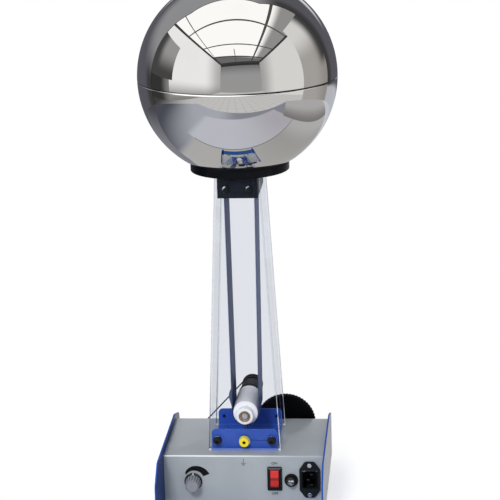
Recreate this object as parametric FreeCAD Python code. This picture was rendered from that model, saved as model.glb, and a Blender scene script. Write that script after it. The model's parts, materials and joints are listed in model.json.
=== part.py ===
import FreeCAD
import Part
import math
import os

# Van de Graaff generator: a belt charging machine with a mirror-polished dome on a clear column.
# Millimetres. +X runs right along the front panel, +Y runs from front to back, +Z is up.
# The origin is on the floor, on the axis of the column and the dome.

# ---------------------------------------------------------------- driving dimensions
# chassis: a folded sheet box between two end plates
foot_height = 8.0
foot_radius = 9.0
foot_inset = 15.0
chassis_width = 206.0
chassis_depth = 140.0
chassis_height = 62.0
chassis_shift = 3.0           # the chassis centre lies this far behind the column axis
cover_sheet = 1.5
cover_bend = 2.5
cover_return = 13.0           # folded-in edges that carry the end plates and the bottom
bottom_sheet = 1.2
end_plate_sheet = 2.0
end_plate_front = 78.5        # reach in front of the chassis
end_plate_rear = 31.5         # reach behind the chassis
end_plate_rise = 10.0         # height above the chassis top
front_slope_run = 27.5
front_slope_drop = 22.0
rear_slope_run = 44.5
rear_slope_drop = 13.0
end_plate_corner = 9.0

# column: four bonded acrylic plates over a folded tray
column_height = 361.0
column_foot_width = 93.0
column_top_width = 56.6
column_depth = 95.0
acrylic = 2.5
tray_sheet = 1.5
tray_flange = 28.0            # height of the front flange
tray_rear_flange = 24.0
tray_corner = 6.0
column_screw_spread = 70.0
column_screw_height = 14.0
socket_height = 13.0

# belt drive inside the column
lower_axis_height = 42.0      # above the chassis top
upper_axis_rise = 89.0        # above the column's top
lower_roller_radius = 16.4
upper_roller_radius = 19.2
roller_length = 64.0
roller_crown = 0.4
roller_crown_run = 14.0       # length of the taper at each end
belt_width = 60.0
belt_sheet = 1.0
belt_centre = 8.2             # the belt runs this far behind the column axis
hub_radius = 11.0
hub_length = 13.4
shaft_radius = 4.0
bearing_radius = 11.0
bearing_width = 7.0

# round drive cord at the back
drive_reach = 15.0            # from the back of the chassis to the middle of the cord
pulley_width = 12.0
roller_pulley_cord = 12.2     # radius of the cord's own centre line on the roller pulley
motor_pulley_cord = 8.6
cord_radius = 1.1
groove_depth = 1.8            # from the cord's centre line out to the pulley's rim
motor_side = 30.0             # motor's axis from the chassis's left side
motor_drop = 31.0             # below the chassis top
motor_radius = 25.0
motor_length = 70.0
motor_screw_spread = 32.0

# hand crank at the back
crank_side = 59.0             # crank's axis from the chassis's right side
crank_drop = 12.0
crank_radius = 40.5
crank_width = 8.0
crank_arm = 28.0
crank_flutes = 56
grip_radius = 8.0
grip_length = 49.85

# head: collar, seat, roller cheeks and dome
head_block_width = 50.8
head_block_height = 28.0
head_opening_width = 44.0
head_screw_spread = 29.0
head_screw_height = 12.5      # above the block's lower face
collar_radius = 62.5
collar_height = 10.0
boss_radius = 57.4
boss_height = 4.2
seat_sheet = 0.8
cheek_sheet = 4.0
cheek_width = 34.0
dome_radius = 125.0
dome_sheet = 0.8
dome_mouth = 59.0
dome_mouth_bend = 3.0
dome_flat = 62.8              # where the rim's flat meets the bend
seam_drop = 1.6               # the dome's joint lies this far below its centre
joint_lap = 6.0

# front panel controls, placed from the chassis centre and down from its top
knob_side = 37.5              # from the left side
knob_drop = 35.0
knob_skirt = 11.5
knob_length = 18.0
switch_side = 63.7            # from the right side
switch_drop = 30.6
bezel_width = 18.7
bezel_height = 31.7
rocker_width = 10.4
rocker_height = 22.0
rocker_swing = 8.0            # degrees to each side of the middle
fuse_side = 42.5
fuse_drop = 32.8
fuse_flange = 8.8
inlet_side = 18.7
inlet_drop = 31.6
inlet_width = 26.5
inlet_height = 48.4
inlet_straight = 28.0         # height of the flange's full-width part
inlet_ear = 12.0              # width of the flange's ends over the screws
inlet_screw_pitch = 40.0

# clearances
fit = 0.05                    # running fit of a shaft in its bearing, on the radius
seated = 0.02                 # a pressed or screwed seat, on the radius
running_gap = 0.35            # between pieces that move past each other
face_gap = 0.1                # under the lift-off dome's rim
side_gap = 0.2                # a panel or block beside the wall it slips into

# ---------------------------------------------------------------- derived places
half_width = chassis_width / 2
chassis_top = foot_height + chassis_height
chassis_front = chassis_shift - chassis_depth / 2
chassis_rear = chassis_shift + chassis_depth / 2
column_front = -column_depth / 2
column_rear = column_depth / 2
column_top = chassis_top + column_height
collar_top = column_top + collar_height
seat_top = collar_top + boss_height + seat_sheet
lower_axis = chassis_top + lower_axis_height
upper_axis = column_top + upper_axis_rise
roller_front = belt_centre - roller_length / 2
roller_rear = belt_centre + roller_length / 2
hub_front = roller_front - hub_length
drive_plane = chassis_rear + drive_reach
motor_axis = chassis_top - motor_drop
crank_axis = chassis_top - crank_drop
motor_x = motor_side - half_width
crank_x = half_width - crank_side
knob_x = knob_side - half_width
switch_x = half_width - switch_side
fuse_x = half_width - fuse_side
inlet_x = half_width - inlet_side
dome_rim = collar_top + seat_sheet + face_gap
dome_bend_radius = dome_radius - dome_mouth_bend
dome_centre = dome_rim + dome_mouth_bend + math.sqrt(dome_bend_radius ** 2 - dome_flat ** 2)
dome_seam = dome_centre - seam_drop

os.makedirs("parts", exist_ok=True)

V = FreeCAD.Vector
UP, DOWN = (0, 0, 1), (0, 0, -1)
BACK, FRONT = (0, 1, 0), (0, -1, 0)
RIGHT, LEFT = (1, 0, 0), (-1, 0, 0)


# ---------------------------------------------------------------- building blocks
def box(x0, x1, y0, y1, z0, z1):
    """A block between two corners."""
    return Part.makeBox(x1 - x0, y1 - y0, z1 - z0, V(x0, y0, z0))


def rod(start, direction, radius, length):
    """A cylinder that starts at a point and runs along a direction."""
    return Part.makeCylinder(radius, length, V(*start), V(*direction))


def placed(shape, origin, direction):
    """Turn a shape made along +Z so that it stands at origin and points along direction."""
    shape.Placement = FreeCAD.Placement(V(*origin), FreeCAD.Rotation(V(0, 0, 1), V(*direction)))
    return shape


def rounded_wire(points, to_space):
    """A closed outline through (u, v) or (u, v, radius) points, with its corners rounded."""
    corners = [(p[0], p[1], p[2] if len(p) > 2 else 0.0) for p in points]
    edges = []
    last = None
    first = None
    for i, (u, v, radius) in enumerate(corners):
        before = corners[i - 1]
        after = corners[(i + 1) % len(corners)]
        corner = V(u, v, 0)
        to_before = V(before[0], before[1], 0).sub(corner)
        to_after = V(after[0], after[1], 0).sub(corner)
        to_before.normalize()
        to_after.normalize()
        if radius > 0:
            half = to_before.getAngle(to_after) / 2
            cut = radius / math.tan(half)
            start = corner.add(V(to_before).multiply(cut))
            end = corner.add(V(to_after).multiply(cut))
            inward = to_before.add(to_after)
            inward.normalize()
            middle = corner.add(inward.multiply(radius / math.sin(half) - radius))
            arc = Part.Arc(to_space(start), to_space(middle), to_space(end)).toShape()
        else:
            start = corner
            end = corner
            arc = None
        if last is not None:
            edges.append(Part.makeLine(to_space(last), to_space(start)))
        else:
            first = start
        if arc is not None:
            edges.append(arc)
        last = end
    edges.append(Part.makeLine(to_space(last), to_space(first)))
    return Part.Wire(edges)


def prism_x(points, x0, x1):
    """A (y, z) outline carried from x0 to x1."""
    wire = rounded_wire(points, lambda p: V(x0, p.x, p.y))
    return Part.Face(wire).extrude(V(x1 - x0, 0, 0))


def prism_y(points, y0, y1):
    """An (x, z) outline carried from y0 to y1."""
    wire = rounded_wire(points, lambda p: V(p.x, y0, p.y))
    return Part.Face(wire).extrude(V(0, y1 - y0, 0))


def prism_z(points, z0, z1):
    """An (x, y) outline carried from z0 to z1."""
    wire = rounded_wire(points, lambda p: V(p.x, p.y, z0))
    return Part.Face(wire).extrude(V(0, 0, z1 - z0))


def rectangle(u0, u1, v0, v1, radius=0.0):
    return [(u0, v0, radius), (u1, v0, radius), (u1, v1, radius), (u0, v1, radius)]


def turned(profile, origin, direction):
    """A (radius, height) outline turned about its own axis, then set along a direction."""
    wire = rounded_wire(profile, lambda p: V(p.x, 0, p.y))
    return placed(Part.Face(wire).revolve(V(0, 0, 0), V(0, 0, 1), 360), origin, direction)


def screw(head_at, direction, head_radius, head_height, thread_radius, length, drive):
    """A screw whose head's seat is at head_at and whose thread runs along direction."""
    edge = 0.25 * head_height
    body = turned([(0, -head_height), (head_radius, -head_height, edge), (head_radius, 0),
                   (thread_radius, 0), (thread_radius, length), (0, length)], (0, 0, 0), UP)
    depth = 0.55 * head_height
    if drive == "hexagon":
        across = 0.5 * head_radius
        corners = [(across * math.cos(math.radians(a)), across * math.sin(math.radians(a)))
                   for a in range(0, 360, 60)]
        key = prism_z(corners, -head_height, depth - head_height)
    else:
        blade = 0.12 * head_radius
        key = box(-head_radius, head_radius, -blade, blade, -head_height, depth - head_height)
        if drive == "cross":
            reach = 0.6 * head_radius
            key = box(-reach, reach, -blade, blade, -head_height, depth - head_height)
            key = key.fuse(box(-blade, blade, -reach, reach, -head_height, depth - head_height))
    return placed(body.cut(key), head_at, direction)


def panel_screw(head_at, direction, length):
    """The cross-head screw used for the feet, tray, motor and roller cheeks."""
    return screw(head_at, direction, panel_screw_head, 2.2, panel_screw_radius, length, "cross")


def plate_screw(face_at, direction, length):
    """A countersunk screw with a hexagon key, flush with the end plate that it holds."""
    body = turned([(0, 0), (plate_screw_head, 0), (panel_screw_radius, plate_screw_cone),
                   (panel_screw_radius, length), (0, length)], (0, 0, 0), UP)
    corners = [(plate_screw_key * math.cos(math.radians(a)), plate_screw_key * math.sin(math.radians(a)))
               for a in range(0, 360, 60)]
    return placed(body.cut(prism_z(corners, 0, plate_screw_cone / 2)), face_at, direction)


def loop_path(centre_a, radius_a, centre_b, radius_b, to_space):
    """Edges of a belt line round two circles: two arcs joined by the outer tangents."""
    span = V(centre_b[0] - centre_a[0], centre_b[1] - centre_a[1], 0)
    heading = math.atan2(span.y, span.x)
    lean = math.acos((radius_a - radius_b) / span.Length)

    def on(centre, radius, angle):
        return V(centre[0] + radius * math.cos(angle), centre[1] + radius * math.sin(angle), 0)

    a1 = on(centre_a, radius_a, heading + lean)
    a2 = on(centre_a, radius_a, heading + math.pi)
    a3 = on(centre_a, radius_a, heading - lean)
    b1 = on(centre_b, radius_b, heading + lean)
    b2 = on(centre_b, radius_b, heading)
    b3 = on(centre_b, radius_b, heading - lean)
    return [Part.Arc(to_space(a1), to_space(a2), to_space(a3)).toShape(),
            Part.makeLine(to_space(a3), to_space(b3)),
            Part.Arc(to_space(b3), to_space(b2), to_space(b1)).toShape(),
            Part.makeLine(to_space(b1), to_space(a1))]


def save(node, *solids):
    """Write one node, as a single solid or a group of separate solids."""
    shape = solids[0] if len(solids) == 1 else Part.makeCompound(list(solids))
    shape.exportStep("parts/" + node + ".step")


def column_half(height):
    """Half the column's outer width at a height above the chassis top."""
    taper = (column_foot_width - column_top_width) / 2 / column_height
    return column_foot_width / 2 - taper * height


# ---------------------------------------------------------------- chassis
panel_screw_radius = 2.0
panel_screw_head = 3.8
plate_screw_edge = 8.0
plate_screw_low = 14.0        # lower row of the end plates' screws, above the bottom edge
plate_screw_length = 6.0
plate_screw_head = 3.8
plate_screw_cone = 1.8        # depth of the countersunk head
plate_screw_key = 1.5
screw_end = 1.5               # thread that shows past the last sheet
foot_pocket = 4.0
wheel_bush_flange = 11.0
wheel_bush_radius = 7.0
knob_shaft_radius = 3.0
knob_bush_radius = 4.5
fuse_body_radius = 6.3
switch_body_width = 13.4
switch_body_height = 27.0
inlet_body_width = 20.0
inlet_body_height = 28.0
inlet_screw_radius = 1.5
tray_screw_x = 30.0
tray_screw_y = 28.0
motor_boss = 9.0

plate_screw_rows = [(y, z) for y in (chassis_front + plate_screw_edge, chassis_rear - plate_screw_edge)
                    for z in (foot_height + plate_screw_low, chassis_top - plate_screw_edge)]
foot_places = [(x, y) for x in (foot_inset - half_width, half_width - foot_inset)
               for y in (chassis_front + foot_inset - cover_sheet, chassis_rear - foot_inset + cover_sheet)]
tray_screw_places = [(x, y) for x in (-tray_screw_x, tray_screw_x) for y in (-tray_screw_y, tray_screw_y)]
motor_screw_places = [motor_x - motor_screw_spread / 2, motor_x + motor_screw_spread / 2]
knob_axis = chassis_top - knob_drop
switch_axis = chassis_top - switch_drop
fuse_axis = chassis_top - fuse_drop
inlet_axis = chassis_top - inlet_drop


def build_cover():
    """Top, front and back folded from one sheet, with returns at its ends and lower edges."""
    outer = prism_x([(chassis_front, foot_height), (chassis_rear, foot_height),
                     (chassis_rear, chassis_top, cover_bend), (chassis_front, chassis_top, cover_bend)],
                    -half_width, half_width)
    inner_front = chassis_front + cover_sheet
    inner_rear = chassis_rear - cover_sheet
    inner_top = chassis_top - cover_sheet
    inner_bend = cover_bend - cover_sheet
    shell = outer.cut(prism_x([(inner_front, foot_height), (inner_rear, foot_height),
                               (inner_rear, inner_top, inner_bend), (inner_front, inner_top, inner_bend)],
                              -half_width, half_width))
    lip_low = foot_height + bottom_sheet
    parts = []
    for side in (-1, 1):
        x0, x1 = sorted((side * half_width, side * (half_width - cover_sheet)))
        frame = box(x0, x1, inner_front, inner_rear, lip_low, inner_top)
        frame = frame.cut(box(x0, x1, inner_front + cover_return, inner_rear - cover_return,
                              lip_low, inner_top - cover_return))
        parts.append(frame)
    for y0, y1 in ((inner_front, inner_front + cover_return), (inner_rear - cover_return, inner_rear)):
        parts.append(box(-half_width, half_width, y0, y1, lip_low, lip_low + cover_sheet))
    shell = shell.multiFuse(parts).removeSplitter()

    wall = cover_sheet * 3
    holes = []
    front_at = chassis_front - cover_sheet
    holes.append(rod((knob_x, front_at, knob_axis), BACK, knob_bush_radius + seated, wall))
    holes.append(rod((fuse_x, front_at, fuse_axis), BACK, fuse_body_radius + seated, wall))
    holes.append(box(switch_x - switch_body_width / 2 - seated, switch_x + switch_body_width / 2 + seated,
                     front_at, front_at + wall,
                     switch_axis - switch_body_height / 2 - seated,
                     switch_axis + switch_body_height / 2 + seated))
    holes.append(box(inlet_x - inlet_body_width / 2 - seated, inlet_x + inlet_body_width / 2 + seated,
                     front_at, front_at + wall,
                     inlet_axis - inlet_body_height / 2 - seated,
                     inlet_axis + inlet_body_height / 2 + seated))
    for dz in (-inlet_screw_pitch / 2, inlet_screw_pitch / 2):
        holes.append(rod((inlet_x, front_at, inlet_axis + dz), BACK, inlet_screw_radius + seated, wall))
    rear_at = chassis_rear + cover_sheet
    holes.append(rod((motor_x, rear_at, motor_axis), FRONT, motor_boss + seated, wall))
    for x in motor_screw_places:
        holes.append(rod((x, rear_at, motor_axis), FRONT, panel_screw_radius + seated, wall))
    holes.append(rod((crank_x, rear_at, crank_axis), FRONT, wheel_bush_radius + seated, wall))
    for x, y in tray_screw_places:
        holes.append(rod((x, y, chassis_top + cover_sheet), DOWN, panel_screw_radius + seated, wall))
    for x, y in foot_places:
        holes.append(rod((x, y, foot_height), UP, panel_screw_radius + seated, wall))
    for y, z in plate_screw_rows:
        holes.append(rod((-half_width - cover_sheet, y, z), RIGHT, panel_screw_radius + seated, wall))
        holes.append(rod((half_width + cover_sheet, y, z), LEFT, panel_screw_radius + seated, wall))
    return shell.cut(Part.makeCompound(holes))


def build_bottom():
    """The flat panel that closes the underside, held by the feet's screws."""
    panel = box(side_gap - half_width, half_width - side_gap,
                chassis_front + cover_sheet + side_gap, chassis_rear - cover_sheet - side_gap,
                foot_height, foot_height + bottom_sheet)
    holes = [rod((x, y, foot_height - bottom_sheet), UP, panel_screw_radius + seated, 3 * bottom_sheet)
             for x, y in foot_places]
    return panel.cut(Part.makeCompound(holes))


def build_end_plate(side):
    """A side cheek that stands proud of the chassis, with sloping ends to its top edge."""
    top = chassis_top + end_plate_rise
    corner = end_plate_corner
    front = chassis_front - end_plate_front
    rear = chassis_rear + end_plate_rear
    outline = [(front, foot_height, corner / 2), (rear, foot_height, corner / 2),
               (rear, top - rear_slope_drop, corner), (rear - rear_slope_run, top, 2 * corner),
               (front + front_slope_run, top, corner), (front, top - front_slope_drop, corner)]
    x0, x1 = sorted((side * half_width, side * (half_width + end_plate_sheet)))
    plate = prism_x(outline, x0, x1)
    face = side * (half_width + end_plate_sheet)
    holes = [rod((x0 - end_plate_sheet, y, z), RIGHT, panel_screw_radius + seated, 3 * end_plate_sheet)
             for y, z in plate_screw_rows]
    cones = [Part.makeCone(plate_screw_head + seated, panel_screw_radius + seated, plate_screw_cone,
                           V(face, y, z), V(-side, 0, 0)) for y, z in plate_screw_rows]
    return plate.cut(Part.makeCompound(holes)).cut(Part.makeCompound(cones))


def build_foot(x, y):
    """A turned rubber foot with a pocket for its screw's head."""
    bore = panel_screw_radius + seated
    pocket = panel_screw_head + 0.6
    ground = foot_radius - 1.5
    return turned([(pocket, 0), (ground, 0, 0.8), (foot_radius, foot_height),
                   (bore, foot_height), (bore, foot_pocket), (pocket, foot_pocket)], (x, y, 0), UP)


save("chassis_cover", build_cover())
save("bottom_panel", build_bottom())
save("left_end_plate", build_end_plate(-1))
save("right_end_plate", build_end_plate(1))
save("rubber_feet", *[build_foot(x, y) for x, y in foot_places])
foot_screw_length = foot_height - foot_pocket + bottom_sheet + cover_sheet + screw_end
panel_screws = [panel_screw((x, y, foot_pocket), UP, foot_screw_length) for x, y in foot_places]
for side, inward in ((-1, RIGHT), (1, LEFT)):
    for y, z in plate_screw_rows:
        face_at = (side * (half_width + end_plate_sheet), y, z)
        panel_screws.append(plate_screw(face_at, inward, plate_screw_length))

# ---------------------------------------------------------------- column foot
column_screw_radius = 2.0
column_screw_head = 5.0
column_screw_cap = 5.0        # height of the head
washer_radius = 5.6
washer_sheet = 0.8
socket_bore = 2.0             # takes a 4 mm plug
socket_bore_end = 16.0        # depth from the socket's face
socket_barrel = 3.0
socket_radius = 6.2
socket_reach = 7.0
socket_lip = 1.5              # the metal barrel lies this far behind the face
front_inner = column_front + acrylic
rear_inner = column_rear - acrylic
tray_half = column_half(tray_flange) - acrylic - side_gap
column_screw_z = chassis_top + column_screw_height
socket_z = chassis_top + socket_height
bearing_tube = 13.2
bearing_nut = 15.5
bearing_flange = 3.5


def build_tray():
    """A folded tray: a floor on the chassis with a flange up the front and the back wall."""
    bend = 2.0 * tray_sheet
    front_top = chassis_top + tray_flange
    rear_top = chassis_top + tray_rear_flange
    outer = prism_x([(front_inner, chassis_top, bend), (rear_inner, chassis_top, bend),
                     (rear_inner, rear_top), (0, rear_top), (0, front_top), (front_inner, front_top)],
                    -tray_half, tray_half)
    inner = prism_x([(front_inner + tray_sheet, chassis_top + tray_sheet, bend - tray_sheet),
                     (rear_inner - tray_sheet, chassis_top + tray_sheet, bend - tray_sheet),
                     (rear_inner - tray_sheet, front_top), (front_inner + tray_sheet, front_top)],
                    -tray_half, tray_half)
    rounded = [prism_y([(-tray_half, chassis_top), (tray_half, chassis_top), (tray_half, top, tray_corner),
                        (-tray_half, top, tray_corner)], y0, y1)
               for y0, y1, top in ((front_inner, 0, front_top), (0, rear_inner, rear_top))]
    tray = outer.cut(inner).common(rounded[0].fuse(rounded[1])).removeSplitter()
    holes = []
    for x in (-column_screw_spread / 2, column_screw_spread / 2):
        holes.append(rod((x, column_front, column_screw_z), BACK, column_screw_radius + seated, column_depth))
    holes.append(rod((0, column_front, socket_z), BACK, socket_barrel + seated, 2 * acrylic + tray_sheet))
    for x, y in tray_screw_places:
        holes.append(rod((x, y, chassis_top - tray_sheet), UP, panel_screw_radius + seated, 3 * tray_sheet))
    return tray.cut(Part.makeCompound(holes))


def column_outline(height, inset):
    """(x, z) corners of a column wall from the chassis to a height, inset from its slanted edges."""
    low = column_half(0) - inset
    high = column_half(height) - inset
    top = chassis_top + height
    return [(-low, chassis_top), (low, chassis_top), (high, top), (-high, top)]


def build_column_face(y0, y1, holes):
    """The front or back wall: a tapered plate with its fixing holes."""
    return prism_y(column_outline(column_height, 0), y0, y1).cut(Part.makeCompound(holes))


def build_column_side(side):
    """A slanted side wall, bonded between the front and back walls."""
    shell = prism_y(column_outline(column_height, 0), front_inner, rear_inner)
    core = prism_y(column_outline(column_height, acrylic), front_inner, rear_inner)
    x0, x1 = sorted((0, side * column_foot_width))
    half = box(x0, x1, column_front, column_rear, chassis_top, column_top)
    return shell.cut(core).common(half)


head_screw_z = column_top - head_block_height + head_screw_height
head_screw_radius = 2.0
head_screw_head = 4.3
head_screw_cap = 2.6          # height of the head
head_screw_places = [-head_screw_spread / 2, head_screw_spread / 2]


def fixing_holes(y0):
    holes = [rod((x, y0 - acrylic, column_screw_z), BACK, column_screw_radius + seated, 3 * acrylic)
             for x in (-column_screw_spread / 2, column_screw_spread / 2)]
    holes += [rod((x, y0 - acrylic, head_screw_z), BACK, head_screw_radius + seated, 3 * acrylic)
              for x in head_screw_places]
    return holes


front_holes = fixing_holes(column_front)
front_holes.append(rod((0, column_front - acrylic, socket_z), BACK, socket_barrel + seated, 3 * acrylic))
rear_holes = fixing_holes(rear_inner)
rear_holes.append(rod((0, rear_inner - acrylic, lower_axis), BACK, bearing_tube + seated, 3 * acrylic))

save("column_tray", build_tray())
save("column_front_wall", build_column_face(column_front, front_inner, front_holes))
save("column_rear_wall", build_column_face(rear_inner, column_rear, rear_holes))
save("column_left_wall", build_column_side(-1))
save("column_right_wall", build_column_side(1))
for x, y in tray_screw_places:
    panel_screws.append(panel_screw((x, y, chassis_top - cover_sheet), UP, cover_sheet + tray_sheet + 1.0))

column_screws = []
column_washers = []
for x in (-column_screw_spread / 2, column_screw_spread / 2):
    for face, inward, outward in ((column_front, BACK, -1), (column_rear, FRONT, 1)):
        seat = face + outward * washer_sheet
        column_screws.append(screw((x, seat, column_screw_z), inward, column_screw_head,
                                   column_screw_cap, column_screw_radius,
                                   washer_sheet + acrylic + tray_sheet + screw_end, "hexagon"))
        column_washers.append(turned([(column_screw_radius + seated, 0), (washer_radius, 0),
                                      (washer_radius, washer_sheet),
                                      (column_screw_radius + seated, washer_sheet)],
                                     (x, seat, column_screw_z), inward))
save("column_screws", *column_screws)
save("column_washers", *column_washers)

# 4 mm earth socket: yellow insulated head, metal barrel with its bore, nut behind the tray's flange
nut_height = 3.0
barrel_tail = 6.0             # stud behind the nut, where the comb's arm is held
barrel_length = acrylic + tray_sheet + nut_height + barrel_tail
socket_mouth = socket_bore + 0.3
socket_face = column_front - washer_sheet - socket_reach
barrel_end = socket_reach + washer_sheet + barrel_length
save("earth_socket_head",
     turned([(socket_barrel + seated, 0), (socket_radius, 0), (socket_radius, socket_reach, 1.2),
             (socket_mouth, socket_reach), (socket_mouth, socket_reach - socket_lip),
             (socket_barrel + seated, socket_reach - socket_lip)],
            (0, column_front - washer_sheet, socket_z), FRONT))
save("earth_socket_barrel",
     turned([(socket_bore, socket_lip), (socket_barrel, socket_lip), (socket_barrel, barrel_end),
             (0, barrel_end), (0, socket_bore_end), (socket_bore, socket_bore_end)],
            (0, socket_face, socket_z), BACK))
socket_washer = turned([(socket_barrel + seated, 0), (socket_radius + 1.0, 0),
                        (socket_radius + 1.0, washer_sheet), (socket_barrel + seated, washer_sheet)],
                       (0, column_front - washer_sheet, socket_z), BACK)
hexagon = [((socket_barrel + 2.2) * math.cos(math.radians(a)),
            (socket_barrel + 2.2) * math.sin(math.radians(a))) for a in range(0, 360, 60)]
socket_nut = placed(prism_z(hexagon, 0, nut_height), (0, front_inner + tray_sheet, socket_z), BACK)
socket_nut = socket_nut.cut(rod((0, front_inner, socket_z), BACK, socket_barrel + seated, 4 * nut_height))
save("earth_socket_nuts", socket_washer, socket_nut)

# ---------------------------------------------------------------- lower roller and its bearing
ring_radius = 7.7
ring_depth = 4.0
ring_inset = 0.8              # the ring's face lies this far inside the hub
ring_mouth = 5.9              # radius of the cone that opens round the shaft
ring_cone = 2.0               # and its depth
pulley_hub_step = 2.0         # hub between a pulley and its bearing
hub_clear = 1.0
housing_rear = drive_plane - pulley_width / 2 - pulley_hub_step - hub_clear
bore = shaft_radius + seated

save("lower_roller", turned([
    (bore, ring_depth), (ring_radius + seated, ring_depth), (ring_radius + seated, 0),
    (hub_radius, 0, 1.0), (hub_radius, hub_length), (lower_roller_radius - roller_crown, hub_length, 2.0),
    (lower_roller_radius, hub_length + roller_crown_run),
    (lower_roller_radius, hub_length + roller_length - roller_crown_run),
    (lower_roller_radius - roller_crown, hub_length + roller_length, 1.5),
    (bore, hub_length + roller_length)], (0, hub_front, lower_axis), BACK))
save("roller_end_ring", turned([(ring_mouth, ring_inset), (ring_radius, ring_inset, 0.5),
                                (ring_radius, ring_depth), (bore, ring_depth),
                                (bore, ring_inset + ring_cone)], (0, hub_front, lower_axis), BACK))
shaft_start = hub_front + 1.4
shaft_end = drive_plane + pulley_width / 2
save("lower_roller_shaft", turned([(0, 0), (shaft_radius, 0, 0.6),
                                   (shaft_radius, shaft_end - shaft_start, 0.6),
                                   (0, shaft_end - shaft_start)], (0, shaft_start, lower_axis), BACK))

clamp_ring = 4.0              # thickness of the ring inside the wall
bearing_inset = 0.8
bearing_land = 1.5            # step between the two bearing seats
housing_start = rear_inner - clamp_ring
seat_one = column_rear + bearing_inset
seat_two = housing_rear - bearing_width - bearing_inset
save("bearing_housing", turned([
    (bearing_tube, 0), (bearing_tube, column_rear - housing_start),
    (bearing_nut, column_rear - housing_start, 0.5),
    (bearing_nut, column_rear - housing_start + bearing_flange, 0.8),
    (bearing_tube, column_rear - housing_start + bearing_flange),
    (bearing_tube, housing_rear - housing_start, 0.8),
    (bearing_radius + seated, housing_rear - housing_start),
    (bearing_radius + seated, seat_two - housing_start),
    (bearing_radius - bearing_land, seat_two - housing_start),
    (bearing_radius - bearing_land, seat_one + bearing_width - housing_start),
    (bearing_radius + seated, seat_one + bearing_width - housing_start),
    (bearing_radius + seated, 0)], (0, housing_start, lower_axis), BACK))
save("bearing_nut", turned([(bearing_tube + seated, 0), (bearing_nut, 0, 0.6),
                            (bearing_nut, rear_inner - housing_start),
                            (bearing_tube + seated, rear_inner - housing_start)],
                           (0, housing_start, lower_axis), BACK))


def build_bearing(y):
    """A ball bearing, drawn as its two rings joined by the shielded ball space."""
    shield = 0.4
    inner_land = shaft_radius + 2.2
    outer_land = bearing_radius - 2.2
    return turned([(shaft_radius + fit, 0), (inner_land, 0), (inner_land, shield), (outer_land, shield),
                   (outer_land, 0), (bearing_radius, 0), (bearing_radius, bearing_width),
                   (outer_land, bearing_width), (outer_land, bearing_width - shield),
                   (inner_land, bearing_width - shield), (inner_land, bearing_width),
                   (shaft_radius + fit, bearing_width)], (0, y, lower_axis), BACK)


save("roller_bearings", build_bearing(seat_one), build_bearing(seat_two))


def grooved_pulley(cord_line, centre_x, centre_z):
    """A cord pulley with a V groove, and a short hub towards its bearing."""
    rim = cord_line + groove_depth
    floor = cord_line - cord_radius - running_gap - 0.05
    half = pulley_width / 2
    mouth = cord_radius + 2.2
    foot = 0.8
    pulley_bore = shaft_radius + seated
    hub = shaft_radius + 3.2
    return turned([(pulley_bore, -pulley_hub_step), (hub, -pulley_hub_step), (hub, 0),
                   (rim - 0.6, 0), (rim, 0.6), (rim, half - mouth), (floor, half - foot),
                   (floor, half + foot), (rim, half + mouth), (rim, pulley_width - 0.6),
                   (rim - 0.6, pulley_width),
                   (pulley_bore, pulley_width)],
                  (centre_x, drive_plane - half, centre_z), BACK)


save("roller_pulley", grooved_pulley(roller_pulley_cord, 0, lower_axis))

# ---------------------------------------------------------------- combs
comb_pitch = 2.5
comb_tooth = 3.0
comb_sheet = 1.0
comb_gap = 2.0
comb_back = 6.0
comb_length = belt_width - 6.0
lower_belt_radius = lower_roller_radius + running_gap
upper_belt_radius = upper_roller_radius + running_gap
lower_comb_tip = lower_axis - lower_belt_radius - belt_sheet - comb_gap
upper_comb_tip = upper_belt_radius + belt_sheet + comb_gap
post_width = 7.4
post_sheet = 1.4
post_clear = 4.5              # from the comb's end to the post
post_foot = 8.0
upper_post_foot = 11.0
ear_drop = 2.0
eye_length = 3.0


def comb_outline(length, back, tooth, pitch):
    """(along, up) outline of a comb: a plain back edge and a row of pointed teeth."""
    count = int(length / pitch)
    start = -count * pitch / 2
    points = [(start, 0), (-start, 0)]
    for i in range(count):
        right = -start - i * pitch
        points.append((right, back))
        points.append((right - pitch / 2, back + tooth))
    points.append((start, back))
    return points


def build_lower_comb():
    """A saw-toothed strip under the lower roller, its points to the belt."""
    low = lower_comb_tip - comb_tooth - comb_back
    teeth = comb_outline(comb_length, comb_back, comb_tooth, comb_pitch)
    outline = [(belt_centre + a, low + b) for a, b in teeth]
    return prism_x(outline, -comb_sheet / 2, comb_sheet / 2)


def build_comb_post():
    """The bracket of the lower comb: a foot on the tray, an upright with two ears that hold the comb,
    and an arm whose eye sits on the earth socket's stud."""
    floor = chassis_top + tray_sheet
    low = lower_comb_tip - comb_tooth - comb_back
    comb_front = belt_centre - comb_length / 2
    back = comb_front - post_clear
    front = back - post_sheet
    upright = box(-post_width / 2, post_width / 2, front, back, floor, low + comb_back)
    foot = box(-post_width / 2, post_width / 2, back, comb_front + post_foot, floor, floor + post_sheet)
    ears = [box(x0, x0 + post_sheet, back, comb_front + comb_back, low - ear_drop, low + comb_back)
            for x0 in (-comb_sheet / 2 - post_sheet, comb_sheet / 2)]
    stud_end = socket_face + barrel_end
    eye = rod((0, stud_end, socket_z), FRONT, socket_barrel + post_sheet, eye_length)
    arm = box(-post_sheet / 2, post_sheet / 2, stud_end - eye_length, back,
              socket_z - socket_barrel, socket_z + socket_barrel)
    bracket = upright.multiFuse([foot, eye, arm] + ears)
    return bracket.cut(rod((0, stud_end, socket_z), FRONT, socket_barrel + seated, 2 * eye_length))


def build_upper_comb():
    """A saw-toothed strip beside the upper roller, its points to the belt's rising run."""
    base = upper_comb_tip + comb_tooth + comb_back
    teeth = comb_outline(comb_length, comb_back, comb_tooth, comb_pitch)
    outline = [(base - b, belt_centre + a) for a, b in teeth]
    return prism_z(outline, upper_axis - comb_sheet / 2, upper_axis + comb_sheet / 2)


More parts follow.
